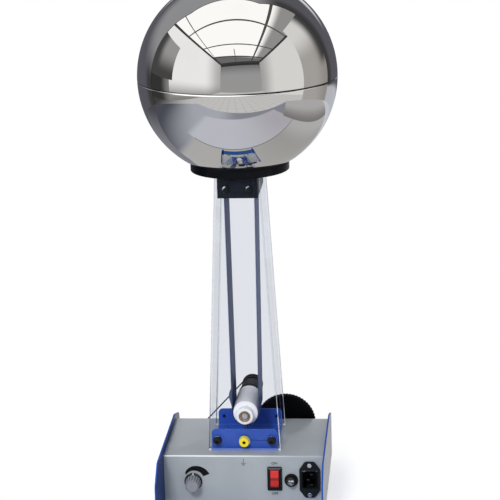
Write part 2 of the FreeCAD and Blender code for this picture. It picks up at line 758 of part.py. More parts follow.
def build_upper_comb_post():
    """The upright that joins the upper comb to the dome's seat plate."""
    base = upper_comb_tip + comb_tooth + comb_back
    inner = base - comb_back + 1.0
    y0 = belt_centre - post_width
    y1 = belt_centre + post_width
    top = upper_axis - comb_sheet / 2
    upright = box(inner, inner + post_sheet, y0, y1, seat_top, top)
    shelf = box(inner, base, y0, y1, top - post_sheet, top)
    foot = box(inner, inner + upper_post_foot, y0, y1, seat_top, seat_top + post_sheet)
    return upright.multiFuse([shelf, foot]).removeSplitter()


save("lower_comb", build_lower_comb())
save("lower_comb_post", build_comb_post())
save("upper_comb", build_upper_comb())
save("upper_comb_post", build_upper_comb_post())

# ---------------------------------------------------------------- belts
def belt_space(p):
    return V(p.x, belt_centre - belt_width / 2, p.y)


outer_loop = Part.Face(Part.Wire(loop_path((0, lower_axis), lower_belt_radius + belt_sheet,
                                           (0, upper_axis), upper_belt_radius + belt_sheet, belt_space)))
inner_loop = Part.Face(Part.Wire(loop_path((0, lower_axis), lower_belt_radius,
                                           (0, upper_axis), upper_belt_radius, belt_space)))
save("charging_belt", outer_loop.cut(inner_loop).extrude(V(0, belt_width, 0)))

cord_path = Part.Wire(loop_path((0, lower_axis), roller_pulley_cord, (motor_x, motor_axis),
                                motor_pulley_cord, lambda p: V(p.x, drive_plane, p.y)))
cord_start = cord_path.Edges[0].valueAt(cord_path.Edges[0].FirstParameter)
cord_heading = cord_path.Edges[0].tangentAt(cord_path.Edges[0].FirstParameter)
cord_section = Part.Wire(Part.makeCircle(cord_radius, cord_start, cord_heading))
save("drive_cord", cord_path.makePipeShell([cord_section], True, False))

# ---------------------------------------------------------------- head
block_bottom = column_top - head_block_height
block_y = rear_inner - side_gap
opening_front = belt_centre - belt_width / 2 - 5.0
opening_rear = belt_centre + belt_width / 2 + 3.0
seat_inset = 0.5              # the seat's edge lies this far inside the collar's
cheek_gap = 1.5               # between a cheek and the roller's end
boss_top = collar_top + boss_height
cheek_front = roller_front - cheek_gap - cheek_sheet
cheek_rear = roller_rear + cheek_gap
cheek_screw_spread = 20.0
cheek_screw_length = 10.0
cheek_foot = 11.0
cheek_crown = 12.0            # half the flat of the cheek's rounded top, and its height over the axle
head_screw_front = 9.0
head_screw_rear = 5.0
screw_room = 0.5              # a blind hole's depth past its screw
opening = rectangle(-head_opening_width / 2, head_opening_width / 2, opening_front, opening_rear, 3.0)


def build_head_block():
    """The plug that fills the column's mouth and leaves a way for the belt."""
    block = prism_z(rectangle(-head_block_width / 2, head_block_width / 2, -block_y, block_y, 1.5),
                    block_bottom, column_top)
    holes = [prism_z(opening, block_bottom, column_top)]
    for x in head_screw_places:
        holes.append(rod((x, column_front, head_screw_z), BACK, head_screw_radius + seated,
                         head_screw_front + screw_room))
        holes.append(rod((x, column_rear, head_screw_z), FRONT, head_screw_radius + seated,
                         head_screw_rear + screw_room))
    return block.cut(Part.makeCompound(holes))


cheek_screw_places = [(x, y) for x in (-cheek_screw_spread / 2, cheek_screw_spread / 2)
                      for y in (cheek_front - cheek_foot / 2, cheek_rear + cheek_sheet + cheek_foot / 2)]


def build_collar():
    """The black disc that caps the column, with a low boss inside the dome's mouth."""
    disc = turned([(0, column_top), (collar_radius, column_top, 0.8), (collar_radius, collar_top, 0.8),
                   (boss_radius, collar_top), (boss_radius, boss_top), (0, boss_top)], (0, 0, 0), UP)
    holes = [prism_z(opening, column_top, boss_top)]
    holes += [rod((x, y, seat_top + cheek_sheet), DOWN, panel_screw_radius + seated,
                  cheek_screw_length + screw_room) for x, y in cheek_screw_places]
    return disc.cut(Part.makeCompound(holes))


def build_seat():
    """A spun metal plate over the collar: the dome's rim rests on its edge."""
    edge = collar_radius - seat_inset
    wall = boss_radius + seat_sheet
    plate = turned([(0, boss_top), (boss_radius, boss_top), (boss_radius, collar_top), (edge, collar_top),
                    (edge, collar_top + seat_sheet), (wall, collar_top + seat_sheet),
                    (wall, boss_top + seat_sheet, 0.5), (0, boss_top + seat_sheet)], (0, 0, 0), UP)
    holes = [prism_z(opening, boss_top, seat_top)]
    holes += [rod((x, y, boss_top), UP, panel_screw_radius + seated, 3.0) for x, y in cheek_screw_places]
    return plate.cut(Part.makeCompound(holes))


def build_cheek(y0, outward):
    """An upright that carries one end of the upper roller's axle, with a foot on the seat."""
    top = upper_axis + cheek_crown
    round_off = cheek_crown - 1.0
    plate = prism_y([(-cheek_width / 2, seat_top), (cheek_width / 2, seat_top), (cheek_crown, top, round_off),
                     (-cheek_crown, top, round_off)], y0, y0 + cheek_sheet)
    f0, f1 = sorted((y0 + cheek_sheet / 2, y0 + cheek_sheet / 2 + outward * (cheek_sheet / 2 + cheek_foot)))
    foot = prism_z(rectangle(-cheek_width / 2, cheek_width / 2, f0, f1), seat_top, seat_top + cheek_sheet)
    holes = [rod((0, y0 - cheek_sheet, upper_axis), BACK, shaft_radius + seated, 3 * cheek_sheet)]
    holes += [rod((x, y, seat_top - 1.0), UP, panel_screw_radius + seated, 2 * cheek_sheet)
              for x, y in cheek_screw_places]
    return plate.fuse(foot).removeSplitter().cut(Part.makeCompound(holes))


save("head_block", build_head_block())
save("dome_collar", build_collar())
save("dome_seat", build_seat())
save("front_roller_cheek", build_cheek(cheek_front, -1))
save("rear_roller_cheek", build_cheek(cheek_rear, 1))
for x, y in cheek_screw_places:
    panel_screws.append(panel_screw((x, y, seat_top + cheek_sheet), DOWN, cheek_screw_length))
head_screws = []
for x in head_screw_places:
    head_screws.append(screw((x, column_front, head_screw_z), BACK, head_screw_head, head_screw_cap,
                             head_screw_radius, head_screw_front, "slot"))
    head_screws.append(screw((x, column_rear, head_screw_z), FRONT, head_screw_head, head_screw_cap,
                             head_screw_radius, head_screw_rear, "slot"))
save("head_screws", *head_screws)

save("upper_roller", turned([
    (shaft_radius + fit, 0), (upper_roller_radius - roller_crown, 0, 1.5),
    (upper_roller_radius, roller_crown_run), (upper_roller_radius, roller_length - roller_crown_run),
    (upper_roller_radius - roller_crown, roller_length, 1.5), (shaft_radius + fit, roller_length)],
    (0, roller_front, upper_axis), BACK))
axle_overhang = 1.5
roller_axle_start = cheek_front - axle_overhang
roller_axle_length = cheek_rear + cheek_sheet + axle_overhang - roller_axle_start
save("upper_roller_axle", turned([(0, 0), (shaft_radius, 0, 0.6), (shaft_radius, roller_axle_length, 0.6),
                                  (0, roller_axle_length)], (0, roller_axle_start, upper_axis), BACK))

# ---------------------------------------------------------------- dome
def sphere_radius_at(radius, z):
    return math.sqrt(radius ** 2 - (dome_centre - z) ** 2)


def arc_rz(p0, mid, p1):
    return Part.Arc(V(p0[0], 0, p0[1]), V(mid[0], 0, mid[1]), V(p1[0], 0, p1[1])).toShape()


def line_rz(p0, p1):
    return Part.makeLine(V(p0[0], 0, p0[1]), V(p1[0], 0, p1[1]))


def revolve_edges(edges):
    return Part.Face(Part.Wire(edges)).revolve(V(0, 0, 0), V(0, 0, 1), 360)


def sphere_arc(radius, z0, z1):
    """Edge of the dome's outline from one height to another, on a given radius."""
    if z1 >= dome_centre + radius:
        end = (0, dome_centre + radius)
    else:
        end = (sphere_radius_at(radius, z1), z1)
    start = (sphere_radius_at(radius, z0), z0)
    start_angle = math.atan2(start[1] - dome_centre, start[0])
    end_angle = math.atan2(end[1] - dome_centre, end[0])
    middle_angle = (start_angle + end_angle) / 2
    middle = (radius * math.cos(middle_angle), dome_centre + radius * math.sin(middle_angle))
    return arc_rz(start, middle, end), start, end


def mouth_bend(radius, bend, flat_z):
    """Tangent points of the small bend between the sphere and the flat rim."""
    centre_z = flat_z + bend
    centre_r = math.sqrt((radius - bend) ** 2 - (dome_centre - centre_z) ** 2)
    scale = radius / (radius - bend)
    on_sphere = (centre_r * scale, dome_centre + (centre_z - dome_centre) * scale)
    on_flat = (centre_r, flat_z)
    half = (math.atan2(on_sphere[1] - centre_z, on_sphere[0] - centre_r) - math.pi / 2) / 2
    middle = (centre_r + bend * math.cos(half), centre_z + bend * math.sin(half))
    return on_flat, middle, on_sphere


def build_lower_shell():
    """The spun lower half: a turned-in flat rim, a small bend, the sphere, and a lap for the joint."""
    flat_out, mid_out, sphere_out = mouth_bend(dome_radius, dome_mouth_bend, dome_rim)
    flat_in, mid_in, sphere_in = mouth_bend(dome_radius - dome_sheet, dome_mouth_bend - dome_sheet,
                                            dome_rim + dome_sheet)
    outer, _, outer_high = sphere_arc(dome_radius, sphere_out[1], dome_seam)
    inner, _, inner_high = sphere_arc(dome_radius - dome_sheet, sphere_in[1], dome_seam)
    shell = revolve_edges([line_rz((dome_mouth, dome_rim), flat_out), arc_rz(flat_out, mid_out, sphere_out),
                           outer, line_rz(outer_high, inner_high), inner,
                           arc_rz(sphere_in, mid_in, flat_in),
                           line_rz(flat_in, (dome_mouth, dome_rim + dome_sheet)),
                           line_rz((dome_mouth, dome_rim + dome_sheet), (dome_mouth, dome_rim))])
    lap_outer = inner_high[0] - side_gap
    lap_inner = lap_outer - dome_sheet
    root = inner_high[0] + dome_sheet / 2
    lap = turned([(lap_inner, dome_seam - joint_lap / 2), (root - 0.3, dome_seam - joint_lap / 2),
                  (root, dome_seam), (lap_outer, dome_seam), (lap_outer, dome_seam + joint_lap),
                  (lap_inner, dome_seam + joint_lap)], (0, 0, 0), UP)
    return shell.fuse(lap).removeSplitter()


def build_upper_shell():
    """The spun upper half, dropped over the lap of the lower one."""
    start = dome_seam + face_gap
    outer, outer_low, outer_high = sphere_arc(dome_radius, start, dome_centre + dome_radius)
    inner, inner_low, inner_high = sphere_arc(dome_radius - dome_sheet, start, dome_centre + dome_radius)
    return revolve_edges([outer, line_rz(outer_high, inner_high), inner, line_rz(inner_low, outer_low)])


save("dome_lower_shell", build_lower_shell())
save("dome_upper_shell", build_upper_shell())

# ---------------------------------------------------------------- motor
motor_face = chassis_rear - cover_sheet
motor_shaft_start = motor_length - 12.0
motor_boss_reach = 2.0        # the boss stands this far out of the back wall
motor_cap = 5.0               # height of the cap over the rear bearing
motor_screw_length = 7.5


def build_motor():
    """A round motor bolted to the inside of the back wall, with its boss through the wall."""
    length = motor_length
    boss_end = -cover_sheet - motor_boss_reach
    can = turned([(0, length + motor_cap), (motor_boss - 1.0, length + motor_cap, 1.0),
                  (motor_boss - 1.0, length), (motor_radius - 2.0, length), (motor_radius, length - 3.0),
                  (motor_radius, 3.0), (motor_radius - 2.0, 0), (motor_boss, 0),
                  (motor_boss, boss_end, 0.5), (shaft_radius + fit, boss_end),
                  (shaft_radius + fit, motor_shaft_start), (0, motor_shaft_start)],
                 (motor_x, motor_face, motor_axis), FRONT)
    holes = [rod((x, chassis_rear, motor_axis), FRONT, panel_screw_radius + seated,
                 motor_screw_length + screw_room) for x in motor_screw_places]
    return can.cut(Part.makeCompound(holes))


save("drive_motor", build_motor())
shaft_front = motor_face - motor_shaft_start + 1.0
save("motor_shaft", turned([(0, 0), (shaft_radius, 0), (shaft_radius, shaft_end - shaft_front, 0.6),
                            (0, shaft_end - shaft_front)], (motor_x, shaft_front, motor_axis), BACK))
save("motor_pulley", grooved_pulley(motor_pulley_cord, motor_x, motor_axis))
for x in motor_screw_places:
    panel_screws.append(panel_screw((x, chassis_rear, motor_axis), FRONT, motor_screw_length))
save("panel_screws", *panel_screws)

# ---------------------------------------------------------------- hand crank
wheel_front = drive_plane - crank_width / 2
wheel_rear = drive_plane + crank_width / 2
bush_depth = 14.5             # into the chassis, from its back face
bush_flange = 3.0             # thickness of the flange on the back face
bush_front = chassis_rear - bush_depth
bush_face = chassis_rear + bush_flange
hub_face = bush_face + 1.0
axle_collar = 6.5
axle_collar_width = 3.0
crank_groove = 4.2            # depth of the cord groove
groove_mouth = 2.6            # half its width at the rim and at its floor
groove_floor = 0.8
crank_hub = 9.0
flute_radius = 1.3
flute_centre = 0.5            # outside the rim
rim_width = 7.0
web_inset = 1.6
pin_radius = 3.0
pin_collar = 2.0
pin_head = 5.0
pin_head_height = 1.8
grip_stand = 1.5              # between the wheel and the grip


def build_crank_wheel():
    """A fluted driving wheel with a cord groove, a thinner web and a long hub."""
    rim = crank_radius
    rim_inner = rim - rim_width
    floor = rim - crank_groove
    middle = drive_plane - hub_face
    front = wheel_front - hub_face
    rear = wheel_rear - hub_face
    wheel_bore = shaft_radius + seated
    wheel = turned([(wheel_bore, 0), (crank_hub, 0), (crank_hub, front + web_inset),
                    (rim_inner, front + web_inset), (rim_inner, front), (rim, front),
                    (rim, middle - groove_mouth), (floor, middle - groove_floor),
                    (floor, middle + groove_floor), (rim, middle + groove_mouth), (rim, rear),
                    (rim_inner, rear), (rim_inner, rear - web_inset), (crank_hub, rear - web_inset),
                    (crank_hub, rear), (wheel_bore, rear)], (crank_x, hub_face, crank_axis), BACK)
    cuts = []
    for i in range(crank_flutes):
        angle = 2 * math.pi * i / crank_flutes
        x = crank_x + (rim + flute_centre) * math.cos(angle)
        z = crank_axis + (rim + flute_centre) * math.sin(angle)
        cuts.append(rod((x, wheel_front, z), BACK, flute_radius, crank_width))
    cuts.append(rod((crank_x, wheel_front, crank_axis - crank_arm), BACK, pin_radius + seated, crank_width))
    return wheel.cut(Part.makeCompound(cuts))


save("crank_bush", turned([(shaft_radius + fit, 0), (wheel_bush_radius, 0, 0.8),
                           (wheel_bush_radius, bush_depth), (wheel_bush_flange, bush_depth),
                           (wheel_bush_flange, bush_depth + bush_flange, 0.8),
                           (shaft_radius + fit, bush_depth + bush_flange)],
                          (crank_x, bush_front, crank_axis), BACK))
axle_front = bush_front - running_gap - axle_collar_width
axle_length = wheel_rear - axle_front
save("crank_axle", turned([(0, 0), (axle_collar, 0, 0.5), (axle_collar, axle_collar_width),
                           (shaft_radius, axle_collar_width), (shaft_radius, axle_length), (0, axle_length)],
                          (crank_x, axle_front, crank_axis), BACK))
save("crank_wheel", build_crank_wheel())

web_front = wheel_front + web_inset
web_sheet = crank_width - 2 * web_inset
grip_front = wheel_rear + grip_stand
collar_end = grip_front - running_gap - web_front
head_start = grip_front + grip_length + running_gap - web_front
save("crank_pin", turned([(0, 0), (pin_radius, 0), (pin_radius, web_sheet),
                          (pin_radius + pin_collar, web_sheet),
                          (pin_radius + pin_collar, collar_end), (pin_radius, collar_end),
                          (pin_radius, head_start), (pin_head, head_start),
                          (pin_head, head_start + pin_head_height, 1.0), (0, head_start + pin_head_height)],
                         (crank_x, web_front, crank_axis - crank_arm), BACK))
save("crank_grip", turned([(pin_radius + fit, 0), (grip_radius - 1.2, 0, 1.2),
                           (grip_radius, grip_length * 0.6), (grip_radius - 0.6, grip_length, 3.0),
                           (pin_radius + fit, grip_length)],
                          (crank_x, grip_front, crank_axis - crank_arm), BACK))

# ---------------------------------------------------------------- speed control
knob_gap = 1.0
knob_body = 9.2
knob_seat = 4.0               # depth of the recess over the control's nut
knob_flutes = 16
knob_flute_radius = 0.9
cap_radius = 7.4
cap_sheet = 1.6
cap_proud = 0.4
pot_radius = 12.0
pot_depth = 12.0
pot_nut = 6.2
pot_nut_height = 2.0
shaft_well = 6.0              # the shaft's inner end lies this far from the control's back


def build_knob():
    """A skirted pointer knob with finger flutes, hollow over the control's nut."""
    length = knob_length
    recess = pot_nut + 1.2
    body = turned([(knob_shaft_radius + seated, knob_seat), (recess, knob_seat), (recess, 0),
                   (knob_skirt, 0), (knob_skirt, 1.6, 0.5), (knob_body + 0.6, 3.6),
                   (knob_body - 0.8, length, 0.8), (cap_radius + seated, length),
                   (cap_radius + seated, length - cap_sheet),
                   (knob_shaft_radius + seated, length - cap_sheet)], (0, 0, 0), UP)
    flutes = []
    for i in range(knob_flutes):
        angle = 2 * math.pi * i / knob_flutes
        reach = knob_body + 0.6
        flutes.append(rod((reach * math.cos(angle), reach * math.sin(angle), 3.6), UP,
                          knob_flute_radius, length))
    return placed(body.cut(Part.makeCompound(flutes)), (knob_x, chassis_front - knob_gap, knob_axis), FRONT)


save("speed_knob", build_knob())
cap_back = chassis_front - knob_gap - knob_length + cap_sheet
cap_height = cap_sheet + cap_proud
save("speed_knob_cap", turned([(0, 0), (cap_radius, 0), (cap_radius, cap_height, 0.4), (0, cap_height)],
                              (knob_x, cap_back, knob_axis), FRONT))
pot_back = chassis_front + cover_sheet + pot_depth
control_shaft_back = pot_back - shaft_well - running_gap
save("control_shaft", rod((knob_x, control_shaft_back, knob_axis), FRONT, knob_shaft_radius,
                          control_shaft_back - cap_back - running_gap))
pot_face = pot_depth + cover_sheet
bush_end = pot_face + 3.2
save("speed_control", turned([
    (0, 0), (pot_radius, 0, 0.8), (pot_radius, pot_depth), (knob_bush_radius, pot_depth),
    (knob_bush_radius, pot_face), (pot_nut, pot_face), (pot_nut, pot_face + pot_nut_height, 0.4),
    (knob_bush_radius, pot_face + pot_nut_height), (knob_bush_radius, bush_end),
    (knob_shaft_radius + fit, bush_end), (knob_shaft_radius + fit, shaft_well), (0, shaft_well)],
    (knob_x, pot_back, knob_axis), FRONT))


board_width = 64.0
board_depth = 60.0
board_sheet = 1.6
board_inset = 29.0            # behind the chassis front
board_shift = 2.0             # its middle lies this far right of the column axis
board_corner = 5.0            # pillar from the board's edges
pillar_radius = 3.0
pillar_height = 8.0
choke_radius = 9.0
choke_bore = 4.0
choke_height = 10.0
capacitor_width = 18.0
capacitor_depth = 10.0
capacitor_height = 13.0
sink_width = 38.0
sink_height = 24.4
sink_sheet = 2.0
fin_depth = 10.0
fin_sheet = 1.5
fin_count = 5


def build_board():
    """The speed control's circuit board on four pillars, with its choke, capacitor and finned heat sink."""
    x0 = board_shift - board_width / 2
    x1 = board_shift + board_width / 2
    y0 = chassis_front + board_inset
    y1 = y0 + board_depth
    base = foot_height + bottom_sheet
    under = base + pillar_height
    top = under + board_sheet
    board = box(x0, x1, y0, y1, under, top)
    pillars = [rod((x, y, base), UP, pillar_radius, pillar_height)
               for x in (x0 + board_corner, x1 - board_corner)
               for y in (y0 + board_corner, y1 - board_corner)]
    choke = turned([(choke_bore, 0), (choke_radius, 0, 1.5), (choke_radius, choke_height, 1.5),
                    (choke_bore, choke_height)], (x0 + 2 * choke_radius, y0 + 2 * choke_radius, top), UP)
    c1 = x1 - board_corner
    d0 = y0 + 3 * board_corner
    capacitor = prism_z(rectangle(c1 - capacitor_width, c1, d0, d0 + capacitor_depth, 1.5), top,
                        top + capacitor_height)
    s0 = x0 + board_corner
    s1 = s0 + sink_width
    back = y1 - board_corner
    sink = box(s0, s1, back - sink_sheet, back, top, top + sink_height)
    pitch = (sink_width - fin_sheet) / (fin_count - 1)
    fins = [box(s0 + pitch * i, s0 + pitch * i + fin_sheet, back - sink_sheet - fin_depth, back - sink_sheet,
                top, top + sink_height) for i in range(fin_count)]
    return [board.multiFuse([choke, capacitor, sink] + fins)] + pillars


save("control_board", *build_board())

# ---------------------------------------------------------------- rocker switch
bezel_sheet = 2.5
pivot_depth = 4.5             # rocker pivot behind the bezel's face
pivot_radius = 1.0
pivot_wall = 0.3              # left outside the pivot's sockets
rocker_ends = 7.5             # in front of the pivot, at the rocker's ends
rocker_middle = 5.9
rocker_back = 3.0             # behind the pivot
rocker_taper = 4.0
rocker_sweep = 0.9            # room past each end for the swing
cavity_back = 6.0
switch_depth = 18.0
bezel_face = chassis_front - bezel_sheet
pivot_y = bezel_face + pivot_depth
window_half = rocker_height / 2 + rocker_sweep


def build_switch_housing():
    """The switch's frame and body, open at the front for its rocker."""
    bezel = prism_y(rectangle(switch_x - bezel_width / 2, switch_x + bezel_width / 2,
                              switch_axis - bezel_height / 2, switch_axis + bezel_height / 2, 1.5),
                    bezel_face, chassis_front)
    body = box(switch_x - switch_body_width / 2, switch_x + switch_body_width / 2, chassis_front,
               chassis_front + switch_depth, switch_axis - switch_body_height / 2,
               switch_axis + switch_body_height / 2)
    cavity = box(switch_x - rocker_width / 2 - running_gap, switch_x + rocker_width / 2 + running_gap,
                 bezel_face, pivot_y + cavity_back, switch_axis - window_half, switch_axis + window_half)
    socket_end = switch_body_width / 2 - pivot_wall
    pivot = rod((switch_x - socket_end, pivot_y, switch_axis), RIGHT, pivot_radius + fit, 2 * socket_end)
    return bezel.fuse(body).removeSplitter().cut(cavity.fuse(pivot))


def build_rocker():
    """A see-saw key, drawn in its middle position and then tipped to its on side, top end in."""
    half = rocker_height / 2
    outline = [(pivot_y - rocker_middle, switch_axis, 3.0), (pivot_y - rocker_ends, switch_axis + half, 0.8),
               (pivot_y, switch_axis + half), (pivot_y + rocker_back, switch_axis + half - rocker_taper),
               (pivot_y + rocker_back, switch_axis - half + rocker_taper), (pivot_y, switch_axis - half),
               (pivot_y - rocker_ends, switch_axis - half, 0.8)]
    key = prism_x(outline, switch_x - rocker_width / 2, switch_x + rocker_width / 2)
    pin_reach = switch_body_width / 2 - pivot_wall - side_gap
    pins = rod((switch_x - pin_reach, pivot_y, switch_axis), RIGHT, pivot_radius, 2 * pin_reach)
    key = key.fuse(pins)
    key.rotate(V(switch_x, pivot_y, switch_axis), V(1, 0, 0), -rocker_swing)
    return key


save("switch_housing", build_switch_housing())
save("switch_rocker", build_rocker())

# ---------------------------------------------------------------- fuse holder
fuse_depth = 30.0
fuse_wall = 2.0               # closed end of the holder
cap_out = 7.0
cap_outer = 6.4
cap_grip = 5.0                # length of the fuse held in the cap
cap_stem = 10.0               # reach of the cap's stem behind the chassis front
cap_slot_depth = 1.5
cap_slot_width = 1.4
fuse_bore = 4.6
flange_height = 2.4
fuse_radius = 2.6
fuse_length = 20.0
cap_face = chassis_front - flange_height - cap_out
stem_back = chassis_front + cap_stem
fuse_hole = fuse_bore + running_gap


def build_fuse_cap():
    """The quarter-turn cap that draws the fuse, with a screwdriver slot across its face."""
    stem = stem_back - cap_face
    head = cap_out - running_gap
    cap = turned([(0, 0), (cap_outer - 0.3, 0, 0.8), (cap_outer, head), (fuse_bore, head), (fuse_bore, stem),
                  (fuse_radius + seated, stem), (fuse_radius + seated, stem - cap_grip),
                  (0, stem - cap_grip)], (fuse_x, cap_face, fuse_axis), BACK)
    slot = box(fuse_x - cap_outer, fuse_x + cap_outer, cap_face, cap_face + cap_slot_depth,
               fuse_axis - cap_slot_width / 2, fuse_axis + cap_slot_width / 2)
    return cap.cut(slot)


save("fuse_holder", turned([
    (0, -fuse_depth), (fuse_body_radius, -fuse_depth, 0.8), (fuse_body_radius, 0), (fuse_flange, 0),
    (fuse_flange, flange_height, 0.6), (fuse_hole, flange_height), (fuse_hole, fuse_wall - fuse_depth),
    (0, fuse_wall - fuse_depth)], (fuse_x, chassis_front, fuse_axis), FRONT))
save("fuse_cap", build_fuse_cap())
save("cartridge_fuse", rod((fuse_x, stem_back - cap_grip, fuse_axis), BACK, fuse_radius, fuse_length))

# ---------------------------------------------------------------- mains inlet
inlet_flange = 3.0
recess_width = 16.5
recess_height = 24.6
recess_depth = 15.0
recess_corner = 4.0
inlet_depth = 22.0
pin_wide = 4.0
pin_thick = 2.0
pin_spread = 7.0              # live and neutral pins, above and below the middle
pin_offset = 2.2              # live and neutral pins, towards the plain side
earth_offset = 2.0            # earth pin, towards the cornered side
pin_inset = 1.5               # the pins' ends lie this far behind the flange's face
pin_tail = 5.0
inlet_face = chassis_front - inlet_flange
inlet_pin_places = [(inlet_x + pin_offset, inlet_axis + pin_spread),
                    (inlet_x + pin_offset, inlet_axis - pin_spread),
                    (inlet_x - earth_offset, inlet_axis)]
inlet_screw_head = 2.9
inlet_screw_cap = 1.9         # height of the head


def inlet_outline():
    """The flange: full width beside the recess, drawn in to a rounded end over each screw."""
    wide = inlet_width / 2
    ear = inlet_ear / 2
    straight = inlet_straight / 2
    high = inlet_height / 2
    quarter = [(wide, straight, 3.0), (ear, high, 5.0)]
    right = [(u, -v, r) for u, v, r in reversed(quarter)] + quarter
    left = [(-u, -v, r) for u, v, r in right]
    return [(inlet_x + u, inlet_axis + v, r) for u, v, r in right + left]


def build_inlet():
    """An appliance inlet: a flange with a six-sided recess for the lead's connector."""
    flange = prism_y(inlet_outline(), inlet_face, chassis_front)
    body = box(inlet_x - inlet_body_width / 2, inlet_x + inlet_body_width / 2, chassis_front,
               chassis_front + inlet_depth, inlet_axis - inlet_body_height / 2,
               inlet_axis + inlet_body_height / 2)
    half_w = recess_width / 2
    half_h = recess_height / 2
    recess = prism_y([(inlet_x + half_w, inlet_axis - half_h, 1.0),
                      (inlet_x + half_w, inlet_axis + half_h, 1.0),
                      (inlet_x - half_w + recess_corner, inlet_axis + half_h),
                      (inlet_x - half_w, inlet_axis + half_h - recess_corner),
                      (inlet_x - half_w, inlet_axis - half_h + recess_corner),
                      (inlet_x - half_w + recess_corner, inlet_axis - half_h)],
                     inlet_face, inlet_face + recess_depth)
    holes = [recess]
    for dz in (-inlet_screw_pitch / 2, inlet_screw_pitch / 2):
        holes.append(rod((inlet_x, inlet_face, inlet_axis + dz), BACK, inlet_screw_radius + seated,
                         inlet_flange))
    for x, z in inlet_pin_places:
        holes.append(box(x - pin_wide / 2 - seated, x + pin_wide / 2 + seated, inlet_face,
                         chassis_front + inlet_depth, z - pin_thick / 2 - seated, z + pin_thick / 2 + seated))
    return flange.fuse(body).removeSplitter().cut(Part.makeCompound(holes))


def build_inlet_pin(x, z):
    return prism_z(rectangle(x - pin_wide / 2, x + pin_wide / 2, inlet_face + pin_inset,
                             chassis_front + inlet_depth + pin_tail, 0.6),
                   z - pin_thick / 2, z + pin_thick / 2)


save("mains_inlet", build_inlet())
save("inlet_pins", *[build_inlet_pin(x, z) for x, z in inlet_pin_places])
save("inlet_screws", *[screw((inlet_x, inlet_face, inlet_axis + dz), BACK, inlet_screw_head, inlet_screw_cap,
                             inlet_screw_radius, inlet_flange + cover_sheet + screw_end, "cross")
                       for dz in (-inlet_screw_pitch / 2, inlet_screw_pitch / 2)])
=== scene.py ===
import json
import math

import bmesh
import bpy
import numpy as np
from mathutils import Matrix, Vector

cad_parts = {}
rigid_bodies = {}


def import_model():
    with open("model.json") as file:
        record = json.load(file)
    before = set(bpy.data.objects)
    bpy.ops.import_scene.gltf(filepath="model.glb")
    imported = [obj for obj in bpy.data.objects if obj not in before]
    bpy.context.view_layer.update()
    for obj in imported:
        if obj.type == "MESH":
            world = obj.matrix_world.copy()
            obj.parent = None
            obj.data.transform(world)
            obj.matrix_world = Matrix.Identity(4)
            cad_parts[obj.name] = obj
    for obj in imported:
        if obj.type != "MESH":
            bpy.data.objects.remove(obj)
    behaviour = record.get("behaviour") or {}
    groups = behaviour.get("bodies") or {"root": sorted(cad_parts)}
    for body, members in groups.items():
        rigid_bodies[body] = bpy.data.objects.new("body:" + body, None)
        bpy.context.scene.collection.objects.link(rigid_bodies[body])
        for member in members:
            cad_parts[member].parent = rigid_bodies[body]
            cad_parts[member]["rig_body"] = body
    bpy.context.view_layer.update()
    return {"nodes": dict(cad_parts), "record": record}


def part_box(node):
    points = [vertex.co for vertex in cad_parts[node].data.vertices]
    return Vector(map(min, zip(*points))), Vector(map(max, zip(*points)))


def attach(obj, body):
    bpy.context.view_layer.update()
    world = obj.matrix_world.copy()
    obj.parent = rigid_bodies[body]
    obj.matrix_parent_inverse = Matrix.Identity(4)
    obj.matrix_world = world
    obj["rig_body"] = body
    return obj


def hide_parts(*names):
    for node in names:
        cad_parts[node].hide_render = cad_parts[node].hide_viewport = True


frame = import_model()
MM = 0.001


# ---------------------------------------------------------------- shader maths
class Value:
    """A number that varies over a surface. Operators on it add Math nodes."""

    def __init__(self, paint, socket):
        self.paint = paint
        self.socket = socket

    def math(self, operation, *others):
        return self.paint.number("ShaderNodeMath", {"operation": operation}, self, *others)

    def __add__(self, other):
        return self.math("ADD", other)

    def __mul__(self, other):
        return self.math("MULTIPLY", other)

    def __sub__(self, other):
        return self.math("SUBTRACT", other)

    def __truediv__(self, other):
        return self.math("DIVIDE", other)

    def __rsub__(self, other):
        return self.paint.number("ShaderNodeMath", {"operation": "SUBTRACT"}, other, self)

    def __rtruediv__(self, other):
        return self.paint.number("ShaderNodeMath", {"operation": "DIVIDE"}, other, self)

    def __neg__(self):
        return self * -1.0

    def __gt__(self, other):
        return self.math("GREATER_THAN", other)

    def __lt__(self, other):
        return self.math("LESS_THAN", other)

    __radd__ = __add__
    __rmul__ = __mul__

    def power(self, exponent):
        return self.math("POWER", exponent)

    def least(self, other):
        return self.math("MINIMUM", other)

    def most(self, other):
        return self.math("MAXIMUM", other)

    def size(self):
        return self.math("ABSOLUTE")

    def root(self):
        return self.math("SQRT")

    def wave(self):
        return self.math("SINE")

    def fade(self, start, end):
        """0 before start, 1 after end, with a smooth step between; start may be above end."""
        return self.paint.number("ShaderNodeMapRange", {"interpolation_type": "SMOOTHSTEP"},
                                 self, start, end, 0.0, 1.0)


